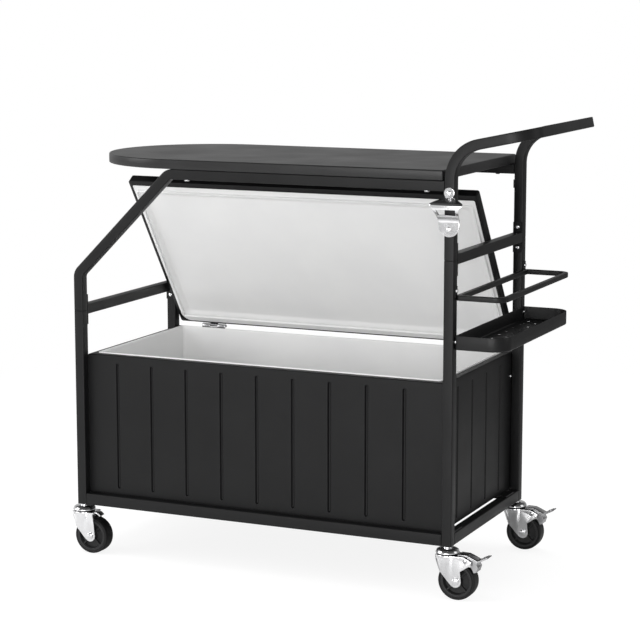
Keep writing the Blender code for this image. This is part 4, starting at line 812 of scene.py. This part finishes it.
def body_ring(inset, radius, height, steps=12):
    """A level outline set in from the cooler body's outer faces."""
    low = (BODY_LEFT + inset, BODY_FRONT + inset)
    high = (BODY_RIGHT - inset, BODY_REAR - inset)
    return [(x, y, height) for x, y in rounded_rectangle(low, high, [radius] * 4, steps)]


def tub_rings(offset, floor, rim):
    """The tub's walls from the floor up, moved out from its inner face by an offset."""
    edge = TUB_FLOOR_EDGE + offset
    rings = []
    for back, fall in quarter_round(6):
        inset = TUB_INSET + TUB_DRAFT - offset + edge * fall
        rings.append(body_ring(inset, TUB_CORNER + offset - edge * fall, floor + edge * back))
    rings.append(body_ring(TUB_INSET - offset, TUB_CORNER + offset, rim))
    return rings


def make_tub():
    """The white liner with its flange."""
    rings = tub_rings(TUB_WALL, TUB_UNDERSIDE, FLANGE_UNDERSIDE)
    rings.append(body_ring(FLANGE_INSET, FLANGE_CORNER, FLANGE_UNDERSIDE))
    half = TUB_WALL / 2
    for back, fall in quarter_round(3):
        rings.append(body_ring(FLANGE_INSET + half * back, FLANGE_CORNER, FLANGE_TOP - half * fall))
    for back, fall in quarter_round(4):
        out = TUB_LIP * fall
        rings.append(body_ring(TUB_INSET - out, TUB_CORNER + out, FLANGE_TOP - TUB_LIP * back))
    rings += tub_rings(0, TUB_FLOOR, FLANGE_TOP - 2 * TUB_LIP)[::-1]
    rings.append(body_ring(TUB_INSET + TUB_DRAFT + 4 * TUB_FLOOR_EDGE, TUB_FLOOR_CORNER, TUB_FLOOR))
    profile = [(DRAIN_HOLE, height) for height in DRAIN_HOLE_SPAN]
    hole = turned(profile, 40, Matrix.Translation((DRAIN_X, DRAIN_Y, 0)))
    stand_in("liner_tub", loft(rings), "liner_plastic", cuts=[hole])


def make_drain():
    """The spout in the tub's floor and its knurled cap."""
    at = Matrix.Translation((DRAIN_X, DRAIN_Y, TUB_FLOOR + GAP))
    stand_in("drain_spout", turned(SPOUT, 48, at, closed=True), "black_plastic")
    rings = []
    for radius, height, depth in CAP:
        ring = []
        for step in range(CAP_STEPS):
            angle = 2 * pi * step / CAP_STEPS
            reach = radius - (depth if step % 4 >= 2 else 0)
            ring.append((DRAIN_X + reach * cos(angle), DRAIN_Y + reach * sin(angle), height))
        rings.append(ring)
    stand_in("drain_cap", loft(rings), "black_plastic")


def lid_ring(sides, front, rear, radii, height, steps=8):
    """A level outline in the lid's own axes, set in from its edges."""
    near = LID_FRONT + front - HINGE_Y
    far = LID_REAR - rear - HINGE_Y
    outline = rounded_rectangle((LID_LEFT + sides, near), (LID_RIGHT - sides, far), radii, steps)
    return [(x, y, height + HINGE_DROP) for x, y in outline]


def even_lid_ring(inset, radius, height):
    """A lid outline that is set in by the same amount all round."""
    return lid_ring(inset, inset, inset, [radius] * 4, height)


def rim_lid_ring(inset, radius, height):
    """A lid outline that is set in from the cooler body's faces."""
    return lid_ring(BODY_LEFT + inset - LID_LEFT, BODY_FRONT + inset - LID_FRONT, inset, [radius] * 4, height)


def lid_shoulder(inset, edge, top, steps=7):
    """The rounded upper edge of the lid, from its flat top down to its wall."""
    rings = []
    for back, fall in quarter_round(steps):
        sink = edge * fall
        rings.append(even_lid_ring(inset + sink, LID_CORNER - inset - sink / 2, top - edge * back))
    return rings


def dish_rings(raise_by, steps=10):
    """The liner's shallow dish, from its flat flange in to its floor."""
    rings = []
    for step in range(steps + 1):
        share = step / steps
        sink = LID_DISH_DEPTH * (1 - cos(pi * share)) / 2
        rings.append(rim_lid_ring(LID_DISH_START + LID_DISH_SLOPE * share, LID_DISH_CORNER, sink + raise_by))
    return rings


def make_lid():
    """Folded shell, white liner and seal ring."""
    opening = [LID_LINER_FRONT_CORNER] * 2 + [LID_LINER_REAR_CORNER] * 2
    lip = (LID_LIP_SIDE, LID_LIP_FRONT, LID_LIP_REAR, opening)
    rings = [even_lid_ring(inset, corner, LID_THICKNESS) for inset, corner in LID_FACE_RINGS]
    rings += lid_shoulder(0, LID_EDGE, LID_THICKNESS)
    for back, fall in quarter_round(2):
        sink = LID_LOW_EDGE * back
        rings.append(even_lid_ring(sink, LID_CORNER - sink, LID_LOW_EDGE * fall))
    rings += [lid_ring(*lip, 0), lid_ring(*lip, SHEET), even_lid_ring(SHEET, LID_CORNER - SHEET, SHEET)]
    rings += lid_shoulder(SHEET, LID_EDGE - SHEET, LID_THICKNESS - SHEET)[::-1]
    stand_in("lid_shell", loft(rings), "panel_paint", "lid", place=LID)

    inner = (LID_LIP_SIDE + GAP, LID_LIP_FRONT + GAP, LID_LIP_REAR + GAP, opening)
    floor = LID_DISH_START + LID_DISH_FLOOR_SHARE * LID_DISH_SLOPE
    rings = [rim_lid_ring(floor, LID_DISH_CORNER, LID_DISH_DEPTH)] + dish_rings(0)[::-1]
    rings.append(rim_lid_ring(LID_DISH_START - LID_DISH_RIM, LID_DISH_CORNER, 0))
    rings += [lid_ring(*inner, 0), lid_ring(*inner, LID_LINER)] + dish_rings(LID_LINER)
    stand_in("lid_liner", loft(rings), "liner_plastic", "lid", place=LID)

    foot = FLANGE_TOP + GAP - LID_UNDERSIDE
    half = GASKET_WIDTH / 2
    rings = []
    for step in range(8):
        angle = pi * (step / 7 - 0.5)
        inset = GASKET_INSET + half + half * sin(angle)
        height = -GAP + (foot + GAP) * cos(angle)
        rings.append(rim_lid_ring(inset, LID_CORNER - half * (1 + sin(angle)) / 2, height))
    seal = loft(rings, closed=True)
    stand_in("lid_gasket", seal, "liner_plastic", "lid", place=LID, slot="seal")


def make_leaf(node, body, place, x, spans, rise):
    """A hinge leaf with knuckles and three screws."""
    near = -HINGE_SETBACK + GAP
    far = near + HINGE_LEAF
    root = HINGE_BARREL + GAP
    half = HINGE_LENGTH / 2
    low, high = sorted((rise * root, rise * HINGE_LEAF_HEIGHT))
    joins = []
    for start, end in spans:
        levels = sorted((0, rise * (root + HINGE_LEAF)))
        joins.append(box((x + start, near, levels[0]), (x + end, far, levels[1])))
        profile = ((HINGE_BARREL, 0), (HINGE_BARREL, end - start))
        joins.append(turned(profile, 28, along_x(x + start, 0, 0)))
    profile = ((HINGE_BORE, 0), (HINGE_BORE, HINGE_LENGTH + 2 * OVERRUN))
    bore = turned(profile, 16, along_x(x - half - OVERRUN, 0, 0))
    leaf = box((x - half, near, low), (x + half, far, high))
    stand_in(node, leaf, "zinc_steel", body, place=place, joins=joins, cuts=[bore], bevel=FINE_BEVEL)
    for index in range(3):
        turn = along_y(x + HINGE_SCREW_PITCH * (index - 1), far, rise * HINGE_SCREW_RISE)
        screw(f"{node}_fine_screw_{index}", HINGE_SCREW, turn, "zinc_steel", body, place=place)


def make_hinges():
    """Two butt hinges behind the lid."""
    half = HINGE_LENGTH / 2
    third = HINGE_LENGTH / 6
    outer = ((-half, -third - GAP / 2), (third + GAP / 2, half))
    middle = ((-third + GAP / 2, third - GAP / 2),)
    shut = CART @ Matrix.Translation((0, HINGE_Y, HINGE_Z))
    for side, x in HINGE_CENTRES.items():
        make_leaf(f"hinge_body_leaf_{side}", "cart", shut, x, outer, -1)
        make_leaf(f"hinge_lid_leaf_{side}", "lid", LID, x, middle, 1)


def make_stem(place, name):
    """Threaded stem collar, bearing race and riveted kingpin."""
    stand_in(f"caster_stem_{name}", turned(STEM, 48), "chrome", place=place)


def fork_outline(braked):
    """Side view of a fork; a braked fork has an ear behind the wheel for the pedal's pivot."""
    nose = Vector((-FORK_NOSE_FOOT, -FORK_NOSE_HEIGHT))
    tip = Vector((AXLE_TRAIL, -AXLE_DROP))
    to_tip = tip - nose
    first = atan2(to_tip.y, to_tip.x) - asin(FORK_TIP / to_tip.length) - pi / 2
    sweep = 2 * pi - first % (2 * pi)
    points = [(-FORK_NOSE, FORK_TOP)]
    points += [(-FORK_NOSE * share, FORK_TOP - fall) for share, fall in FORK_NOSE_SHARES]
    points.append(tuple(nose))
    for step in range(15):
        angle = first + sweep * step / 14
        points.append((tip.x + FORK_TIP * cos(angle), tip.y + FORK_TIP * sin(angle)))
    points.append((AXLE_TRAIL + FORK_BACK, -FORK_NOTCH_HEIGHT))
    if braked:
        points += [(EAR_FOOT_INNER, -EAR_FOOT), (EAR_REACH, -EAR_FOOT), (EAR_REACH, -EAR_TOP)]
    points.append((EAR_ROOT if braked else FORK_TAIL, FORK_TOP))
    return points


def cheek_rise(x, z):
    """How far a cheek's outer face stands off its flat: rolled in at the nose, raised at the rib."""
    fall = min(max((FORK_TOP - z) / (FORK_TOP + FORK_NOSE_HEIGHT), 0), 1)
    edge = -FORK_NOSE + (FORK_NOSE - FORK_NOSE_FOOT) * fall
    rise = 0.0
    if x < edge + FORK_ROLL:
        lean = 1 - max(x - edge, 0) / FORK_ROLL
        rise -= FORK_ROLL_DEPTH * (1 - sqrt(max(1 - lean * lean, 0)))
    for (low, low_share), (high, high_share) in zip(FORK_RIB_SHARES, FORK_RIB_SHARES[1:]):
        if low <= x <= high:
            rise += FORK_RIB * (low_share + (high_share - low_share) * (x - low) / (high - low))
    return rise


def make_cheek(way, braked):
    """One pressed cheek of a fork, cut to the side outline."""
    bm = prism_y(fork_outline(braked), 0, 1)
    slope = Vector((FORK_NOSE - FORK_NOSE_FOOT, 0, -(FORK_TOP + FORK_NOSE_HEIGHT)))
    across = Vector((-slope.z, 0, slope.x)).normalized()
    planes = [(Vector((-FORK_NOSE + FORK_ROLL * share, 0, FORK_TOP)), across) for share in FORK_ROLL_SHARES]
    planes += [(Vector((x, 0, 0)), Vector((1, 0, 0))) for x, share in FORK_RIB_SHARES]
    for point, normal in planes:
        whole = bm.verts[:] + bm.edges[:] + bm.faces[:]
        bmesh.ops.bisect_plane(bm, geom=whole, dist=CUT_TOLERANCE, plane_co=point, plane_no=normal)
    for vertex in bm.verts:
        x, inward, z = vertex.co
        vertex.co.y = way * (FORK_OUTER_HALF + cheek_rise(x, z) - FORK_PLATE * inward)
    return bm


def make_fork(place, name, braked):
    """Pressed cheeks and crown, with a bent tab at the back where there is no brake."""
    outer = FORK_OUTER_HALF
    end = EAR_ROOT if braked else FORK_TAIL
    plan = rounded_rectangle((-FORK_NOSE, -outer), (end, outer), FORK_CROWN_CORNERS, 8)
    edge = FORK_CROWN_EDGE
    turn = edge * FORK_CROWN_EDGE_SHARE
    rings = []
    for inset, sink in ((0, FORK_CROWN), (0, edge), (turn, turn), (edge, 0)):
        share = 1 - inset / outer
        rings.append([(x * share, y * share, FORK_TOP - sink) for x, y in plan])
    disc = [(radius, FORK_TOP - FORK_CROWN * share) for radius, share in FORK_DISC_SHARES]
    joins = [make_cheek(-1, braked), make_cheek(1, braked), turned(disc, 48)]
    hole = ((FORK_HOLE, FORK_TOP - FORK_CROWN - OVERRUN), (FORK_HOLE, FORK_TOP + OVERRUN))
    cuts = [turned(hole, 32)]
    across = [(AXLE_TRAIL, -AXLE_DROP, AXLE_HOLE)]
    if braked:
        across.append((BRAKE_PIVOT_REACH, -BRAKE_PIVOT_DROP, PIVOT_HOLE))
    else:
        tab = [(x, FORK_TOP + z) for x, z in FORK_TAB]
        joins.append(prism_y(tab, -FORK_TAB_HALF, FORK_TAB_HALF))
    for x, z, radius in across:
        hole = ((radius, -RACE_RADIUS), (radius, RACE_RADIUS))
        cuts.append(turned(hole, 24, along_y(x, 0, z)))
    stand_in(f"caster_fork_{name}", loft(rings), "chrome", f"fork_{name}", place=place,
             joins=joins, cuts=cuts, bevel=FORK_BEVEL)


def make_axle(place, name):
    """Axle bolt with a round head at one end and a hexagon nut at the other."""
    outer = FORK_OUTER_HALF + GAP
    centre = (AXLE_TRAIL, 0, -AXLE_DROP)
    shaft = ((AXLE, -outer - AXLE_ENDS[0]), (AXLE, outer + AXLE_ENDS[1]))
    joins = []
    for profile, steps, way in ((AXLE_NUT, 6, 1), (AXLE_HEAD, 24, -1)):
        profile = [(radius, outer + height) for radius, height in profile]
        joins.append(turned(profile, steps, along_y(*centre, way)))
    stand_in(f"caster_axle_{name}", turned(shaft, 24, along_y(*centre)), "chrome",
             f"fork_{name}", place=place, joins=joins, bevel=AXLE_BEVEL)


def turned_wheel_part(half):
    """A closed ring on the axle, from one half of its outline."""
    profile = half + [(radius, -height) for radius, height in half[-2::-1]]
    return turned(profile, 72, along_y(0, 0, 0), closed=True)


def make_wheel(place, name):
    """Tread, ribbed hub and hub boss, turned about the axle."""
    at = place @ Matrix.Translation((AXLE_TRAIL, 0, -AXLE_DROP))
    body = f"wheel_{name}"
    piece(f"caster_tread_{name}", turned_wheel_part(TREAD), "wheel_plastic", body, place=at)
    ribs = []
    (start, end), (low, high) = HUB_RIB_ENDS, HUB_RIB_SIDES
    for quarter in range(4):
        for near, far in ((-high, -low), (low, high)):
            rib = box((start, near, -HUB_RIB_HALF), (end, far, HUB_RIB_HALF))
            rib.transform(Matrix.Rotation(pi / 4 + quarter * pi / 2, 4, 'Y'))
            ribs.append(rib)
    piece(f"caster_hub_{name}", turned_wheel_part(HUB), "hub_plastic", body, [f"caster_wheel_{name}"], at,
          joins=ribs, bevel=FINE_BEVEL, slot="wheel_plastic")


def make_pedal(place, name):
    """Pressed brake pedal with a ribbed toe, a folded shoe and its pivot pin."""
    at = place @ Matrix.Translation((BRAKE_PIVOT_REACH, 0, -BRAKE_PIVOT_DROP))
    half = PEDAL_HALF_WIDTH
    joins = []
    for near, far in ((-half, PEDAL_PLATE - half), (half - PEDAL_PLATE, half)):
        joins.append(prism_y(PEDAL_CHEEK, near, far))
    for step in range(3):
        x = PEDAL_FIRST_RIB + PEDAL_RIB_PITCH * step
        z = PEDAL_TOE[1] + (x - PEDAL_TOE[0]) * PEDAL_TOE_SLOPE
        profile = ((PEDAL_RIB, -PEDAL_RIB_HALF), (PEDAL_RIB, PEDAL_RIB_HALF))
        joins.append(turned(profile, 12, along_y(x, 0, z)))
    profile = ((PIVOT_HOLE, -PIVOT_HOLE_HALF), (PIVOT_HOLE, PIVOT_HOLE_HALF))
    bore = turned(profile, 20, along_y(0, 0, 0))
    stand_in(f"brake_pedal_{name}", prism_y(PEDAL, -half, half), "zinc_steel", f"brake_{name}",
             place=at, joins=joins, cuts=[bore], bevel=FINE_BEVEL)
    outer = FORK_OUTER_HALF + GAP
    profile = [(radius, -outer - height) for radius, height in PIN_HEAD]
    profile += [(radius, outer + height) for radius, height in PIN_HEAD[::-1]]
    pin = turned(profile, 24, along_y(0, 0, 0))
    stand_in(f"brake_pin_{name}", pin, "zinc_steel", f"fork_{name}", place=at)


def make_casters():
    """Four swivel casters; the pair under the handle has brakes."""
    for across, y in LEG_CENTRES_Y.items():
        for side, x in LEG_CENTRES_X.items():
            name = f"{across}_{side}"
            place = CART @ Matrix.Translation((x, y, 0))
            make_stem(place, name)
            make_fork(place, name, side == "right")
            make_axle(place, name)
            make_wheel(place, name)
            if side == "right":
                make_pedal(place, name)


def round_rows(centre, radius, first, last, steps):
    """Flat rows of the opener along a round outline between two angles in degrees."""
    angles = [radians(first + (last - first) * step / steps) for step in range(steps + 1)]
    return [(centre + radius * sin(angle), 0, radius * cos(angle), 0) for angle in angles]


def make_opener():
    """The pressed opener: foot, sill, window between struts, hooked lip, brow, neck and lobe."""
    bm = bmesh.new()
    rows = round_rows(*OPENER_FOOT) + OPENER_ROWS + round_rows(*OPENER_LOBE)
    shares = [2 * column / OPENER_COLUMNS - 1 for column in range(OPENER_COLUMNS + 1)]
    grid = []
    for height, out, half, bow in rows:
        grid.append([bm.verts.new((half * share, bow * share * share - out, height)) for share in shares])
    window = range(OPENER_STRUT_COLUMNS, OPENER_COLUMNS - OPENER_STRUT_COLUMNS)
    for row, low, high in zip(rows, grid, grid[1:]):
        for column in range(OPENER_COLUMNS):
            if column not in window or not OPENER_WINDOW[0] < row[0] < OPENER_WINDOW[1]:
                bm.faces.new((low[column], low[column + 1], high[column + 1], high[column]))
    profile = ((OPENER_HOLE, -OPENER_HOLE_HALF), (OPENER_HOLE, OPENER_HOLE_HALF))
    x = LEG_CENTRES_X["right"]
    cuts = [turned(profile, 24, along_y(0, 0, z)) for z in OPENER_SCREWS.values()]
    stand_in("bottle_opener", bm, "chrome", place=CART @ Matrix.Translation((x, -GAP, 0)), cuts=cuts,
             bevel=OPENER_BEVEL, bevel_angle=OPENER_BEVEL_ANGLE, plate=OPENER_PLATE)
    for name, height in OPENER_SCREWS.items():
        node = f"opener_screw_{name}"
        screw(f"{node}_fine", OPENER_SCREW, along_y(x, -2 * GAP - OPENER_PLATE, height, -1), nodes=[node])


def tray_ring(inset, height):
    """A level outline of the tray, set in from its outer faces."""
    low = (FRAME_LENGTH + GAP + inset, TRAY_FRONT + inset)
    high = (TRAY_REACH - inset, TRAY_REAR - inset)
    inner = max(TRAY_INNER_CORNER - inset, TRAY_LEAST_CORNER)
    outer = TRAY_OUTER_CORNER - inset
    return [(x, y, height) for x, y in rounded_rectangle(low, high, [inner, outer, outer, inner], 16)]


def tray_hole_places():
    """Staggered rows of drain holes, kept off the walls and the round corners."""
    places = []
    keep = TRAY_HOLE + TRAY_HOLE_MARGIN
    rows = int((TRAY_REACH - FRAME_LENGTH) / TRAY_ROW_PITCH)
    count = int((TRAY_REAR - TRAY_FRONT) / TRAY_HOLE_PITCH) + 1
    for row in range(rows):
        x = FRAME_LENGTH + TRAY_FIRST_ROW + TRAY_ROW_PITCH * row
        for index in range(count):
            y = TRAY_FRONT + TRAY_FIRST_HOLE + TRAY_HOLE_PITCH * (index + row % 2 / 2)
            corner_x = x - (TRAY_REACH - TRAY_OUTER_CORNER)
            corner_y = TRAY_OUTER_CORNER - min(y - TRAY_FRONT, TRAY_REAR - y)
            in_corner = corner_x > 0 and corner_y > 0
            clear = not in_corner or hypot(corner_x, corner_y) < TRAY_OUTER_CORNER - keep
            if x < TRAY_REACH - keep and y < TRAY_REAR - keep and clear:
                places.append((x, y))
    return places


def make_tray():
    """The pressed tray with its drain holes and fixing screws."""
    floor = TRAY_BOTTOM + TRAY_WALL
    edge = TRAY_FLOOR_EDGE
    half = TRAY_WALL / 2
    inner = edge - half
    rings = [tray_ring(edge * fall, TRAY_BOTTOM + edge * back) for back, fall in quarter_round(4)]
    for step in range(5):
        angle = pi * step / 4
        rings.append(tray_ring(half * (1 - cos(angle)), TRAY_TOP - half * (1 - sin(angle))))
    for back, fall in quarter_round(4)[::-1]:
        rings.append(tray_ring(TRAY_WALL + inner * fall, floor + inner * back))
    profile = (
        (TRAY_HOLE + OVERRUN, TRAY_BOTTOM - OVERRUN / 2),
        (TRAY_HOLE, floor - TRAY_HOLE_EDGE),
        (TRAY_HOLE, floor + OVERRUN),
    )
    holes = bmesh.new()
    for x, y in tray_hole_places():
        turned(profile, 20, Matrix.Translation((x, y, 0)), bm=holes)
    stand_in("accessory_tray", loft(rings), "frame_paint", cuts=[holes])
    for across, y in LEG_CENTRES_Y.items():
        at = along_x(FRAME_LENGTH + GAP + TRAY_WALL, y, TRAY_SCREW_HEIGHT)
        screw(f"tray_screw_{across}", FRAME_SCREW, at)


def make_wire_rail():
    """The square-bar loop, its tabs and its screws."""
    half = WIRE / 2
    middle = WIRE_BOTTOM + half
    foot = FRAME_LENGTH + GAP
    near_x, far_x = foot + half, WIRE_REACH - half
    near, far = LEG_CENTRES_Y.values()
    corners = ((near_x, near, middle), (far_x, near, middle), (far_x, far, middle), (near_x, far, middle))
    radii = (half + WIRE_INNER_BEND, WIRE_BEND, WIRE_BEND, half + WIRE_INNER_BEND)
    stations = bent_path(corners, radii, WIRE_FACET, closed=True)
    outline = rounded_rectangle((-half, -half), (half, half), [WIRE_CORNER] * 4, 3)
    joins = []
    for across, y in LEG_CENTRES_Y.items():
        low = (foot, y - WIRE_TAB_WIDTH / 2, middle)
        high = (foot + WIRE_TAB, y + WIRE_TAB_WIDTH / 2, WIRE_TAB_TOP)
        joins.append(box(low, high))
        screw(f"wire_rail_screw_{across}", WIRE_SCREW, along_x(foot + WIRE_TAB, y, WIRE_SCREW_HEIGHT))
    loop = loft(swept_rings(stations, outline, (0, 0, 1)), closed=True)
    stand_in("wire_rail", loop, "frame_paint", joins=joins)


def make_small_parts():
    """Screws under the top rails, a bolt on the body's right side and a stop on the rear right upright."""
    under = Matrix.Rotation(pi, 4, 'X')
    near, far = LEG_CENTRES_Y.values()
    foot = TOP_RAIL_TOP - TUBE
    for index, x in enumerate(RAIL_SCREW_PLACES):
        screw(f"rail_screw_{index}", RAIL_SCREW, Matrix.Translation((x, near, foot)) @ under)
    screw("body_bolt", BODY_BOLT, along_x(BODY_RIGHT, BODY_BOLT_Y, BODY_BOLT_HEIGHT))
    for index, x in enumerate(RAIL_SCREW_PLACES):
        at = Matrix.Translation((x, far, foot)) @ under
        screw(f"rear_rail_screw_{index}", REAR_RAIL_SCREW, at, "frame_paint")
    stop = box(*zip([LEG_FAR_X + x for x in STOP_X], STOP_Y, STOP_Z))
    piece("upright_stop", stop, "black_plastic", bevel=STOP_BEVEL)


def keep_cad_nodes():
    """CAD nodes that stay in view get their finish."""
    finishes = {
        "frame_paint": ("body_support_bar_front", "body_support_bar_rear"),
        "panel_paint": ("body_bottom_pan",),
        "foam": ("insulation_foam", "lid_foam"),
        "zinc_steel": ("hinge_pin_left", "hinge_pin_right"),
    }
    for finish, names in finishes.items():
        for name in names:
            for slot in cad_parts[name].material_slots:
                slot.material = MATERIALS[finish]


def sideways(tree, coordinates, levels):
    """A level that changes towards the right and the back."""
    side = add(tree, "VectorMath")
    side.operation = 'DOT_PRODUCT'
    side.inputs[1].default_value = RIGHT_AND_BACK
    tree.links.new(coordinates, side.inputs[0])
    return ramp(tree, side.outputs["Value"], *levels)


def in_mirrors(tree, path, plain, mirrored, target):
    """Feeds a socket with one level, and with another where a glossy surface mirrors it."""
    level = add(tree, "Mix", A=plain)
    tree.links.new(path.outputs["Is Glossy Ray"], level.inputs["Factor"])
    tree.links.new(mirrored, level.inputs["B"])
    tree.links.new(level.outputs["Result"], target)


def mixed(tree, kind, *sources):
    """A mix of two shaders by a factor or, for the kind Add, their sum."""
    made = add(tree, f"{kind}Shader")
    for socket, source in zip(made.inputs, sources):
        tree.links.new(source, socket)
    return made.outputs[0]


def make_floor():
    """A plain white floor that keeps a soft shadow; where glossy surfaces mirror it, its colour is painted
    darker towards the right and the back as painted shade.
    """
    size = FLOOR_HALF
    bm = bmesh.new()
    corners = ((-size, -size), (size, -size), (size, size), (-size, size))
    bm.faces.new([bm.verts.new((x, y, 0)) for x, y in corners])
    floor = raw_object("studio_floor", bm)
    made = bpy.data.materials.new("studio_floor")
    made.use_nodes = True
    floor.data.materials.append(made)
    tree = made.node_tree
    shader = put(tree.nodes["Principled BSDF"], Roughness=FLOOR_ROUGHNESS, Specular_IOR_Level=FLOOR_SPECULAR)
    path = add(tree, "LightPath")
    place = add(tree, "TexCoord").outputs["Object"]
    glow = add(tree, "Emission", Color=WHITE, Strength=FLOOR_GLOW)
    soft = add(tree, "BsdfDiffuse", Color=FLOOR_SHADE)
    white = add(tree, "Emission", Color=WHITE)
    reach = add(tree, "VectorMath")
    reach.operation = 'LENGTH'
    tree.links.new(place, reach.inputs[0])
    fade = ramp(tree, reach.outputs["Value"], *FLOOR_FADE)
    near = mixed(tree, "Add", glow.outputs[0], soft.outputs[0])
    ground = mixed(tree, "Mix", fade, near, white.outputs[0])
    seen = mixed(tree, "Mix", path.outputs["Is Camera Ray"], shader.outputs[0], ground)
    tree.links.new(seen, tree.nodes["Material Output"].inputs["Surface"])
    # Painted shade in reflections: glossy rays see the floor's colour darkened towards the right and the back
    in_mirrors(tree, path, FLOOR_COLOUR, sideways(tree, place, FLOOR_PAINTED_SHADE_IN_MIRRORS), shader.inputs["Base Color"])


def make_world():
    """A white surround, and a plain studio in what glossy surfaces mirror."""
    world = bpy.data.worlds.new("studio")
    bpy.context.scene.world = world
    world.use_nodes = True
    tree = world.node_tree
    plain = put(tree.nodes["Background"], Color=WHITE)
    white = add(tree, "Background", Color=WHITE)
    path = add(tree, "LightPath")
    place = add(tree, "TexCoord").outputs["Generated"]
    axes = add(tree, "SeparateXYZ")
    product = add(tree, "Math")
    product.operation = 'MULTIPLY'
    tree.links.new(place, axes.inputs[0])
    tree.links.new(sideways(tree, place, SKY_MIRRORED), product.inputs[0])
    tree.links.new(ramp(tree, axes.outputs["Z"], *SKY_UPWARD), product.inputs[1])
    in_mirrors(tree, path, SKY_LEVEL, product.outputs[0], plain.inputs["Strength"])
    seen = mixed(tree, "Mix", path.outputs["Is Camera Ray"], plain.outputs[0], white.outputs[0])
    tree.links.new(seen, tree.nodes["World Output"].inputs["Surface"])


def make_lights():
    """Large soft lamps above, at the left, at the front and at the right."""
    for name, (place, size, power) in LAMPS.items():
        lamp = bpy.data.lights.new(name, 'AREA')
        lamp.shape = 'RECTANGLE'
        lamp.size, lamp.size_y = size
        lamp.energy = power
        made = bpy.data.objects.new(name, lamp)
        made.location = place
        made.rotation_euler = (Vector(LAMP_TARGET) - Vector(place)).to_track_quat('-Z', 'Y').to_euler()
        made.visible_glossy = name != "overhead"
        bpy.context.scene.collection.objects.link(made)


def make_camera():
    """The photograph's viewpoint."""
    lens = bpy.data.cameras.new("camera")
    lens.lens = LENS
    lens.sensor_width = CAMERA_SENSOR
    lens.clip_end = CAMERA_REACH
    camera = bpy.data.objects.new("camera", lens)
    x, y, z = CAMERA_PLACE
    camera.location = (x - CENTRE_X, y - CENTRE_Y, z + CASTER_HEIGHT)
    camera.rotation_euler = (pi / 2 - CAMERA_FALL, 0, CAMERA_TURN)
    bpy.context.scene.collection.objects.link(camera)
    bpy.context.scene.camera = camera
    bpy.context.scene.view_settings.view_transform = 'Standard'


make_camera()
make_floor()
make_world()
make_lights()
make_frame()
make_table_top()
make_body_panels()
make_tub()
make_drain()
make_lid()
make_hinges()
make_casters()
make_opener()
make_tray()
make_wire_rail()
make_small_parts()
keep_cad_nodes()
